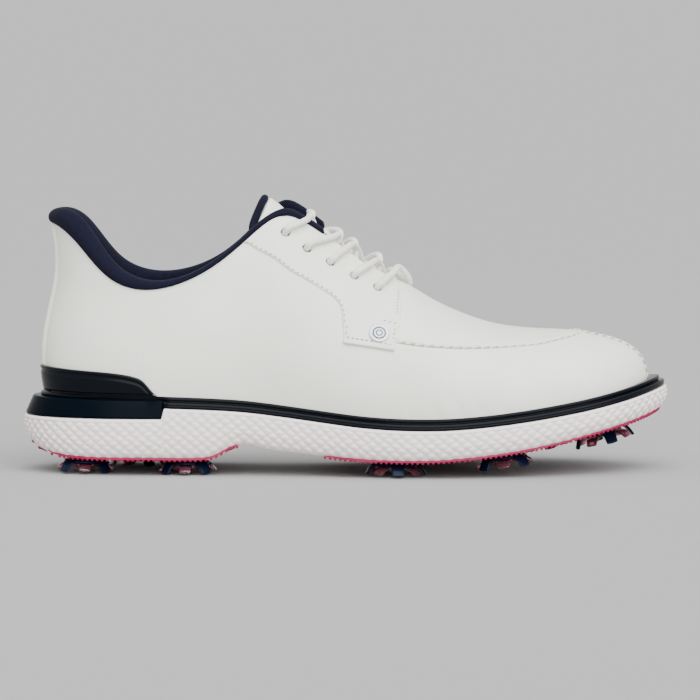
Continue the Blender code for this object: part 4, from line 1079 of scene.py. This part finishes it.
def build_apron():
    ws = np.concatenate([[0.0215, 0.0225, 0.024, 0.0265], np.linspace(0.030, 0.4150, 190)])
    low = np.minimum(seam_t(ws) + 0.0045, 0.9995)
    shares = np.concatenate([[0, 0.007, 0.016, 0.028, 0.045, 0.07, 0.10], np.linspace(0.14, 1, 34)])
    t = low[:, None] + (1 - low[:, None]) * shares
    halves = {}
    for side in SIDES:
        w = to_side(ws, side)[:, None] + 0 * t
        spots = last(w, t)
        climb = climbs(spots, 1)
        fade = smooth(0, 6, climb[:, -1:])
        depth = fade * (0.30 * np.exp(-(((climb - 1.9) / 1.2) ** 2)) + 1.1 * lip(climb, 0.9))
        depth = depth * (1 - smooth(0.7, 1.0, shares))
        calm = normal(w, np.minimum(t, 0.93))
        halves[side] = spots + calm * depth[..., None], spots - calm * 1.4
    faces = []
    for right, left in zip(halves["lateral"], halves["medial"]):
        ridge = (right[:, -1:] + left[:, -1:]) / 2
        faces.append(np.concatenate([right[:, :-1], ridge, left[:, -2::-1]], 1))
    add_sheet("apron_leather", *faces, "leather", stands_for=["apron"], sharp=50)


def build_seam_thread():
    """Stitches that bridge the apron's seam, and the whip stitches of the split toe."""
    for side in SIDES:
        w = np.linspace(0.026, 0.408, 700)
        w, t = to_side(w, side), seam_t(w)
        add_tube("apron_cord_" + side, even(skin(w, t, -0.30), 0.7), 0.55, "thread", 10)
        stitches("apron_stitches_" + side, skin(w, t), w, t, 4.3, 3.5, 0.62, slant=10, paint="lace")
    # the whip stitches keep 4.4 mm from the split toe's seam
    t = np.linspace(0.06, 0.975, 400)
    trial = np.linspace(0, 0.05, 60)
    spots = last(trial[None], t[:, None])
    away = np.linalg.norm(spots - spots[:, :1], axis=-1)
    w = np.array([np.interp(4.4, row, trial) for row in away])
    for side in SIDES:
        line = skin(to_side(w, side), t, 0.55)
        stitches("toe_whip_stitches_" + side, line, to_side(w, side), t, 3.7, 2.9, 0.38, -0.35,
                 slant=20 if side == "lateral" else -20)


def grade(count, size, fine=(0, 0.12, 0.28, 0.5, 0.8)):
    """0..1 with fine steps, given in millimetres of a size, at both ends."""
    ends, step = np.array(fine) / size, 0.4 / size
    middle = np.linspace(ends[-1] + step, 1 - ends[-1] - step, count)
    return np.concatenate([ends, middle, 1 - ends[::-1]])


def eyestay_curves():
    """Its rear edge, and its throat and front edge, as functions of the same 0..9 key."""
    rear = [find(*p) for p in EYESTAY_REAR]
    collar = rear[0][0] + 0.006
    throat = [(collar + (0.4165 - collar) * k / 6, 1.0) for k in range(7)]
    front = throat + [find(*p) for p in EYESTAY_FRONT[1:]]
    return through(rear), through(front)


EYESTAY_EDGES = eyestay_curves()


def build_eyestay(side):
    keys = np.concatenate([[0, 0.03, 0.08, 0.15], np.linspace(0.22, 8.6, 190), np.linspace(8.64, 9, 22)])
    rear, front = (curve(keys) for curve in EYESTAY_EDGES)
    shares = grade(96, 26.0)[None, :, None]
    wt = rear[:, None] + (front - rear)[:, None] * shares
    foot = np.array([find(x, z) for x, z in zip(np.linspace(-1.0, 22.6, 9), np.linspace(61.9, 58.3, 9))])
    foot = np.stack([np.interp(shares[0, :, 0], np.linspace(0, 1, 9), foot[:, i]) for i in (0, 1)], -1)
    wt = wt + (foot - wt[-1])[None] * smooth(6.6, 9.0, keys)[:, None, None]
    w, t = to_side(wt[..., 0], side), np.minimum(wt[..., 1], 1.0)
    spots = last(w, t)
    rim = edge_distance(spots)
    holes = hole_radius(spots, AXES[side]) - EYELET_R
    fall = 0.9 * lip(rim, 1.0) + lip(holes, 0.5)
    lift = 0.95 * smooth(8.35, 9.0, keys)[:, None]
    puff = -0.10 * np.exp(-(((rim - 1.1) / 0.45) ** 2))
    outer = skin(w, t, EYESTAY_HIGH + np.maximum(fall, -1.3) + lift + puff)
    inner = skin(w, t, EYESTAY_LOW + lift)
    keep = open_holes(outer, inner, AXES[side], EYELET_R)
    if side == "lateral":
        keep &= open_holes(outer, inner, [BUTTON_AXIS], BUTTON_HOLE_R)
    add_sheet("eyestay_leather_" + side, outer, inner, "leather", keep, sharp=50,
              stands_for=["eyestay_" + side])


def build_eyestay_thread(side):
    rear, front = EYESTAY_EDGES
    keys = np.linspace(0.1, 7.55, 900)
    wt = rear(keys)
    w, t = wt.T
    line = last(w, t)
    toward = unit(last(*np.moveaxis(wt + (front(keys) - wt) * 0.05, -1, 0)) - line)
    way = unit(np.gradient(line, axis=0))
    inward = unit(toward - way * np.sum(toward * way, -1)[:, None])
    w = to_side(w, side)
    mirror = np.array([1, 1 if side == "lateral" else -1, 1])
    line = skin(w, t, EYESTAY_HIGH) + inward * mirror * 0.9
    stitches("eyestay_edge_stitches_" + side, line, w, t, 2.6, 1.75, 0.32, -0.22)
    rows = {
        "tab_front": [(24.4, 84.4), (24.2, 80.0), (23.9, 74.4)],
        "tab_right": [(23.0, 68.6), (22.5, 65.0), (21.9, 60.9)],
        "tab_rear": [(0.8, 70.5), (0.4, 67.6), (0.3, 65.2)],
        "tab_foot": [(0.2, 64.6), (7.4, 63.3), (14.6, 62.0), (21.8, 60.8)],
        "tab_top": [(16.6, 72.0), (20.4, 71.0), (24.3, 70.0)],
    }
    for name, path in rows.items():
        depth = EYESTAY_HIGH + (0.62 if name == "tab_foot" else 0.04)
        line, w, t = surface_line([find(*p) for p in path], side, depth)
        stitches(f"{name}_stitches_{side}", line, w, t, 2.1, 1.45, 0.28)


def build_heel_strip():
    across = np.linspace(-1, 1, 15)
    low = t_at(np.array(1.0), 46.5)
    t = np.linspace(float(low), 0.998, 90)
    w = 1.0 + 0.0098 * across
    w, t = np.meshgrid(w, t)
    bow = np.sqrt(np.clip(1 - (across * 0.96) ** 2, 0, 1))[None, :]
    ends = np.minimum(t - t[0, 0], t[-1, 0] - t) * 66
    swell = -0.5 + 1.6 * bow * np.sqrt(np.clip(ends / 0.6, 0.1, 1))
    outer = skin(w, t, swell)
    inner = skin(w, t, -1.2)
    add_sheet("heel_piping", outer, inner, "leather", stands_for=["heel_strip"], sharp=60)


# how far the lining stays below the top edge, over x
LINING_TOP = spline([(-139, 17), (-87, 15.5), (-70, 13.6), (-64, 12.6), (-46, 5.8), (-34, 5.0), (-8, 8),
                     (60, 9)])


def build_lining(side):
    """The textile lining, up to just under the collar and the holes."""
    half = np.concatenate([np.linspace(0.004, 0.31, 60), np.linspace(0.3155, 0.9985, 132)])
    top = last(half, 1)
    tall = np.linalg.norm(top - last(half, 0.9), axis=-1)
    high = np.where(half < 0.313, 0.985, 1 - LINING_TOP(top[:, 0]) * 0.1 / tall)
    t = 0.02 + (high - 0.02)[:, None] * np.linspace(0, 1, 36)
    w = to_side(half, side)[:, None] + 0 * t
    depth = -3.4 + 0.05 * np.sin(t * 40) * np.sin(w * 60)
    add_sheet("lining_" + side + "_cloth", skin(w, t, depth), skin(w, t, -4.2), "lining",
              stands_for=["lining_" + side], sharp=50)


# over x: how high the collar stands over the top edge, how thick its pad is and how far it reaches down inside
COLLAR_RISE = spline([(-139, 4.0), (-131, 8.4), (-123, 10.6), (-115, 10.0), (-108, 8.0), (-96, 5.2), (-84, 3.5),
                      (-64, 2.7), (-50, 3.3), (-38, 4.1), (-24, 4.0), (-8, 3.2)])
COLLAR_PAD = spline([(-139, 6.0), (-110, 6.0), (-87, 5.0), (-64, 3.4), (-44, 1.2), (-8, 0.8)])
COLLAR_DEPTH = spline([(-139, 20), (-87, 18), (-64, 14), (-46, 7), (-34, 3.0), (-8, 3.0)])
# the thin piping's section along the throat: outward and up from the top edge
BEAD = [(-1.9, -0.9), (-1.2, -0.6), (0.6, -1), (2, -0.9), (2.3, 0.58), (1.5, 2.75), (0, 3.62), (-1.4, 2.75),
        (-2.1, 0.72)]


def build_collar():
    half = np.concatenate([[0.528, 0.5284, 0.529, 0.530, 0.5315], np.linspace(0.534, 0.9985, 210)])
    ws = both_sides(half)
    one = np.ones_like(ws)
    top, out = last(ws, one), normal(ws, one)
    x = top[:, 0]
    rise, pad, depth = (curve(x)[:, None] for curve in (COLLAR_RISE, COLLAR_PAD, COLLAR_DEPTH))
    tenth = last(ws, one * 0.9)
    t = 1 - depth[:, 0] * 0.1 / np.linalg.norm(top - tenth, axis=-1)
    up = unit(top - last(ws, one * 0.99))
    inside = -1.4 - GAP - 0.2
    padded_points = [
        skin(ws, t, inside),
        top + out * inside + up * GAP,
        top + out * 0.2 + up * 0.15,
        top + out * (0.75 + 0.10 * rise) + up * (GAP + rise * 0.42),
        top + out * (-0.4 - 0.10 * pad) + up * (GAP + rise * 0.93),
        top + out * (-1.2 - 0.55 * pad) + up * (GAP + rise),
        top + out * (inside - pad) + up * rise * 0.45,
        top + out * (inside - pad) - up * depth * 0.35,
        skin(ws, t, inside - pad[:, 0] * 0.6),
    ]
    share = np.clip((np.minimum(ws, 2 - ws) - 0.60) / 0.05, 0, 1)[:, None]
    bead = [top + out * a + up * b for a, b in BEAD]
    corners = np.stack([a + (b - a) * share for a, b in zip(bead, padded_points)], 1)
    # the section's corners become a smooth closed curve
    sections = np.stack([closed_spline(row)(np.linspace(0, 9, 44, endpoint=False)) for row in corners])
    ends = np.minimum(ws - ws[0], ws[-1] - ws) * 330
    shrink = np.sqrt(np.clip(ends / 1.2, 0.02, 1))[:, None, None]
    middle = sections.mean(1, keepdims=True)
    sections = middle + (sections - middle) * shrink
    collar = add_sweep("collar_knit", sections, "knit", stands_for=["collar_pad"], sharp=70)


for SIDE in SIDES:
    build_side_panel(SIDE)
    build_eyestay(SIDE)
    build_eyestay_thread(SIDE)
    build_lining(SIDE)
build_apron()
build_seam_thread()
build_heel_strip()
build_collar()


# ---- the footbed ------------------------------------------------------------------------------------------
def wall_foot(w, inset):
    """The wall's foot at w, moved inwards, at height 0."""
    x0, y0 = station(w)[:, 0], station(w)[:, 1]
    return np.stack([x0, y0, 0 * w], -1) - outward(w) * inset


def build_footbed():
    half = even_ws(150, 0.004, 0.996)
    ws = both_sides(half)
    rings = []
    for inset, rise in (
        (12, 4.5), (8.6, 4.5), (7.8, 4.9), (7.5, 5.6), (7.4, 7.2), (7.5, 8.6), (7.9, 9.3), (8.6, 9.45),
        (9.6, 9.2), (11.5, 8.9), (15, 8.7), (21, 8.65),
    ):
        spot = wall_foot(ws, inset)
        spot[:, 2] = foam_top(spot[:, 0]) + rise
        rings.append(spot)
    sections = np.stack(rings, 1)
    count, columns = len(half), len(rings)
    shares = np.linspace(0, 1, 16)[None, 1:-1, None]
    top_left, top_right = sections[:count, -1][:, None], sections[: count - 1 : -1, -1][:, None]
    middle = top_left + (top_right - top_left) * shares
    middle[..., 2] = foam_top(middle[..., 0]) + 8.65 + 0.35 * np.sin(shares[..., 0] * math.pi)
    points = np.concatenate([sections.reshape(-1, 3), middle.reshape(-1, 3)])
    faces = quads(2 * count, columns, True, False).tolist()
    faces += bridge(count, columns, columns - 1, middle.shape[1]).tolist()
    faces.append(list(range(0, 2 * count * columns, columns)))
    bed = add("footbed_cushion", points, faces, "lining", body="sockliner", stands_for=["footbed"], sharp=60,
              uv=points[:, :2])


build_footbed()


def build_sock():
    """The dark textile sheet that covers the insole board and closes the gap beside the footbed."""
    ws = even_ws(140, 0.004, 0.996)
    left, right = wall_foot(ws, 4.1), wall_foot(2 - ws, 4.1)
    grid = left[:, None] + (right - left)[:, None] * np.linspace(0, 1, 12)[None, :, None]
    grid[..., 2] = foam_top(grid[..., 0]) + 4.25
    add_sheet("insole_sock", grid, grid - (0, 0, 0.2), "lining", sharp=60)


build_sock()


# ---- the tongue -------------------------------------------------------------------------------------------
SPINE = through(TONGUE_SPINE)
SPINE_END = len(TONGUE_SPINE) - 1


def tongue_point(a, y, depth):
    """A point of the tongue: a runs 0..1 from its root to its tip, y across, depth below its face."""
    a, y, depth = np.broadcast_arrays(np.asarray(a, float), np.asarray(y, float), np.asarray(depth, float))
    here = SPINE(a * SPINE_END)
    way = unit(SPINE((a + 0.02) * SPINE_END) - SPINE((a - 0.02) * SPINE_END))
    up = np.stack([way[..., 1], -way[..., 0]], -1)
    flare = 1 + 0.4 * np.maximum(0, (a - 0.7) / 0.3) ** 2
    side = np.abs(y)
    drop = np.where(side < 11, TONGUE_ARCH * side * side, TONGUE_ARCH * 121 + 0.98 * (side - 11)) * flare
    return np.stack([here[..., 0] - up[..., 0] * (drop + depth), y - 0.04 * y * depth,
                     here[..., 1] - up[..., 1] * (drop + depth)], -1)


def tongue_half(a):
    """Half the tongue's width."""
    return 12.7 + 1.7 * smooth(0.62, 0.78, a) - 0.8 * smooth(0.86, 1.0, a)


def build_tongue():
    rows = np.linspace(0, 0.965, 110)[:, None]
    across = grade(46, 25.0, (0, 0.2, 0.5, 0.9)) * 2 - 1
    a = rows - 0.03 * across**2 * smooth(0.86, 0.96, rows)
    y = across * tongue_half(a)
    spots = tongue_point(a, y, 0)
    rim = edge_distance(spots)
    face = tongue_point(a, y, 0.05 - 0.8 * lip(rim, 0.7))
    add_sheet("tongue_leather", face, tongue_point(a, y, 1.2), "leather", body="tongue",
              stands_for=["tongue_face"])
    bulge = np.sin(np.clip(rim / 7, 0, 1) * math.pi / 2)
    lining = tongue_point(a, y, 1.9 + 1.45 * bulge)
    pad = add_sheet("tongue_pad", tongue_point(a, y, 1.6), lining, "lining", body="tongue",
                    stands_for=["tongue_lining"], sharp=70)
    sides = [(a, float(tongue_half(np.array(a))) + 2.6) for a in (0.56, 0.65, 0.74, 0.82, 0.89, 0.95)]
    tip = [(0.985, 11.6), (1.000, 5.9), (1.004, 0)]
    rim = [(a, -y) for a, y in sides + tip] + (sides + tip[:-1])[::-1]
    path = even(through(rim)(np.linspace(0, len(rim) - 1, 400)) * (100, 1), 1.0)
    centres = even(tongue_point(path[:, 0] / 100, path[:, 1], 1.7), 0.7)
    add_tube("tongue_binding_roll", centres, 1.85, "knit", 18, body="tongue", stands_for=["tongue_binding"])


build_tongue()


# ---- the laces --------------------------------------------------------------------------------------------
def throat_w(x):
    """The w whose top edge is at x, along the throat."""
    return halve(lambda w: last(w, 1)[0] > x, 0.36, 0.66, 40)


def throat_point(x, side, height):
    """A point over (or under) the throat's edge at x, along the surface's normal."""
    return skin(to_side(throat_w(x), side), 1, height)


def lace_route():
    """The lace's own points: from the end tucked in under the top lateral hole, down one zigzag, across the
    front and up the other. Each strand goes over its own edge of the throat and under the one across."""

    def toward_edge(index, side):
        point, out = AXES[side][index]
        way = throat_point(EYELETS[index][0] + 8, side, 0) - point
        return unit(way - out * np.dot(way, out))

    def rise(index, side):
        """Up through a hole: from the throat's side, or from the wall's side at the top hole."""
        point, out = AXES[side][index]
        inward = toward_edge(index, side)
        below = 2.2 if index else -1.6
        return [
            point + out * LACE_UNDER + inward * below,
            point + out * (LACE_UNDER + 2.0) + inward * 0.14 * below,
            point + out * 1.0,
            point + out * (LACE_OVER - 1.5) + inward * 0.4,
            point + out * LACE_OVER + inward * 2.6,
        ]

    def strand(index, side):
        """From over hole index, over the tongue, to under the next hole down on the other side."""
        other = "medial" if side == "lateral" else "lateral"
        x = EYELETS[index][0]
        ahead, knob, crest_ahead, crest = CROSSINGS[index]
        between = (throat_point(x + ahead, "lateral", 0) + throat_point(x + ahead, "medial", 0)) / 2
        middle = between + np.array([crest_ahead, 0, crest])
        if side == "lateral":
            return [
                throat_point(x + ahead - 0.8, side, LACE_OVER - 0.55),
                middle,
                throat_point(EYELETS[index + 1][0] + 6.0, other, LACE_UNDER - 0.1),
            ]
        return [
            between + np.array([0.56 * knob, 7.8, 0.83 * knob]),
            middle - np.array([0.6, 0, 3.0]),
            throat_point(EYELETS[index + 1][0] + 2.6, other, LACE_UNDER - 0.1),
        ]

    def zigzag(first, second):
        made = []
        for i in range(5):
            side = (first, second)[i % 2]
            made += rise(i, side)
            if i < 4:
                made += strand(i, side)
        return made

    def tail(side):
        """Down the inside of the wall from under the top hole."""
        w, t = find(*EYELETS[0])
        w = to_side(w, side)
        return [skin(w, t - 0.20, LACE_UNDER - 2.1), skin(w, t - 0.10, LACE_UNDER - 1.9)]

    # across the front, from the lowest lateral hole to the medial one
    bar = [
        throat_point(20.5, "lateral", LACE_OVER + 0.6),
        *np.array([(25.4, -0.5, 94.8), (29.6, 5.5, 89.6), (29.0, 10.5, 87.0)]),
        throat_point(21.0, "medial", LACE_OVER + 0.2),
    ]
    there, back = zigzag("lateral", "medial"), zigzag("medial", "lateral")[::-1]
    return tail("lateral") + there + bar + back + tail("medial")[::-1]


def build_laces():
    route = lace_route()
    path = even(through(route)(np.linspace(0, len(route) - 1, 12000)), 0.4)

    def braid(run, angle):
        """Two sets of strands that cross over the lace's surface."""
        one = np.cos(4 * angle + 2 * math.pi * run / 5.2)
        other = np.cos(4 * angle - 2 * math.pi * run / 5.2)
        return LACE_R * (0.985 + 0.022 * np.maximum(one, other))

    add_tube("lace_cord", path, braid, "lace", 24, stands_for=["laces"], sharp=80)


build_laces()


# ---- the snap button --------------------------------------------------------------------------------------
def build_button():
    point, out = BUTTON_AXIS
    turn = np.array(Vector(out).to_track_quat("Z", "Y").to_matrix()).T
    seat = point + out * (EYESTAY_HIGH + 0.15)

    def place(name, profile, paint, **options):
        points, faces = turned(profile, 64)
        add(name, seat + points @ turn, faces, paint, sharp=40, **options)

    cap = [(3.4, -0.2), (4.5, -0.1), (4.66, 0.25), (4.62, 0.75), (4.35, 1.12), (4.0, 1.25), (3.78, 1.2),
           (3.62, 0.95), (2.0, 0.92), (0.4, 0.92)]
    place("snap_cap", cap, "metal", stands_for=["button_cap"])
    place("snap_face", [(3.66, 0.8), (3.66, 1.05), (3.5, 1.16), (2.0, 1.30), (0.3, 1.34)], "enamel")
    for label, low, high, z in (("1", 2.5, 3.1, 1.27), ("2", 1.1, 1.65, 1.32)):
        ring = [(low - 0.02, z - 0.1), (high + 0.02, z - 0.1), (high, z + 0.05), ((low + high) / 2, z + 0.11),
                (low, z + 0.06)]
        points, _ = turned(ring, 64)
        add("snap_ring_" + label, seat + points @ turn, quads(5, 64, True, True), "ring", sharp=60)


build_button()


# ---- the cleats -------------------------------------------------------------------------------------------
CLEAT_SIDES = 48
# radius and height round the cleat's axis: the dark base with its boss, and the clear ring
CLEAT_BASE = [(5.2, 4.3), (5.4, 4.0), (5.4, 0.0), (9.7, -0.1), (10.15, -0.35), (10.25, -0.8), (10.0, -1.25),
              (9.2, -1.5), (8.9, -1.55), (8.8, -1.2), (6.4, -1.2), (6.3, -3.5), (5.9, -3.75), (3.4, -3.9),
              (3.2, -3.6), (1.0, -3.6), (0.3, -3.6)]
CLEAT_DISC = [(6.5, -1.25), (8.7, -1.25), (8.85, -1.6), (8.95, -2.1), (8.7, -3.0), (8.2, -3.35), (6.45, -3.5)]


def leg(path, ahead, sides=14):
    """A tapering leg: path of (reach, drop, half width, half thickness) at azimuth ahead; z is up."""
    keys = np.linspace(0, len(path) - 1, 5 * len(path) + 8)
    reach, drop, wide, thick = np.moveaxis(through(path)(keys), -1, 0)
    centre = np.stack([reach, 0 * reach, -drop], -1)
    way = unit(np.gradient(centre, axis=0))
    up = np.stack([-way[:, 2], 0 * reach, way[:, 0]], -1)
    c, s = rounded_square(sides, 0.35)
    end = np.sqrt(np.clip((len(path) - 1 - keys) / 0.22, 0.04, 1))
    across = np.array([0, 1, 0])
    points = centre[:, None] + across * (wide * end)[:, None, None] * c[None, :, None]
    points = points + up[:, None] * (thick * end)[:, None, None] * s[None, :, None]
    turn = np.array([[math.cos(ahead), math.sin(ahead), 0], [-math.sin(ahead), math.cos(ahead), 0], [0, 0, 1]])
    return points.reshape(-1, 3) @ turn, capped(len(keys), sides)


def merged(shapes):
    """One list of points and faces from several closed shapes, each turned to face outwards."""
    points, faces = [], []
    for some, these in shapes:
        start = sum(len(p) for p in points)
        corners = [(f[0], f[i], f[i + 1]) for f in these for i in range(1, len(f) - 1)]
        tri = some[np.array(corners)]
        flip = np.einsum("ij,ij->i", tri[:, 0], np.cross(tri[:, 1], tri[:, 2])).sum() < 0
        points.append(some)
        faces += [tuple(start + v for v in (f[::-1] if flip else f)) for f in these]
    return np.concatenate(points), faces


def build_cleat(label, x, y, turn):
    """A cleat on the sole's own normal, with its legs turned by turn degrees."""
    forward = unit(np.array([1, 0, foam_slope(x, 3)]))
    up = np.array([-forward[2], 0, forward[0]])
    spot = np.array([x, y, foam_bottom(x)]) - up * (GAP + OUTSOLE_THICK + GAP)
    phase = math.radians(turn)
    side = np.array([0.0, 1.0, 0.0])
    axes = np.stack([forward * math.cos(phase) + side * math.sin(phase),
                     side * math.cos(phase) - forward * math.sin(phase), up])
    base = turned(CLEAT_BASE, CLEAT_SIDES)
    path = [(8.2, 0.75, 3.2, 0.6), (10.2, 1.0, 3.2, 0.7), (11.9, 2.2, 3.0, 0.72), (13.0, 3.9, 2.8, 0.68),
            (13.9, 5.3, 2.6, 0.6)]
    # no load bends the legs of the toe's cleat
    reach = 1.3 if label == "toe" else 1.0
    path = [(out, drop * reach, wide, thick) for out, drop, wide, thick in path]
    navy = merged([base] + [leg(path, k * math.pi / 2) for k in range(4)])
    add("cleat_base_" + label, spot + navy[0] @ axes, navy[1], "cleat", body="cleat_" + label, sharp=40,
        stands_for=["cleat_" + label])
    disc = turned(CLEAT_DISC, CLEAT_SIDES)[0], quads(len(CLEAT_DISC), CLEAT_SIDES, True, True).tolist()
    path = [(7.6, 2.4, 3.1, 0.9), (9.6, 2.5 * reach, 3.1, 0.95), (11.2, 3.0 * reach, 3.0, 0.9),
            (12.3, 4.0 * reach, 2.8, 0.85), (12.9, 4.75 * reach, 2.5, 0.75)]
    clear = merged([disc] + [leg(path, math.pi / 4 + k * math.pi / 2) for k in range(4)])
    add("cleat_paws_soft_" + label, spot + clear[0] @ axes, clear[1], "clear", body="cleat_" + label, sharp=40,
        stands_for=["cleat_paws_" + label])


for CLEAT in CLEATS:
    build_cleat(*CLEAT)


# ---- what stays of the CAD --------------------------------------------------------------------------------
KEPT = {"insole_board": "board", "shank": "metal", "toe_puff": "board", "heel_counter": "board",
        "button_post": "metal"}
for NAME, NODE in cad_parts.items():
    PAINT = KEPT.get(NAME) or ("cleat" if NAME.startswith("receptacle") else None)
    if PAINT:
        NODE.data.materials.clear()
        NODE.data.materials.append(PAINTS[PAINT])
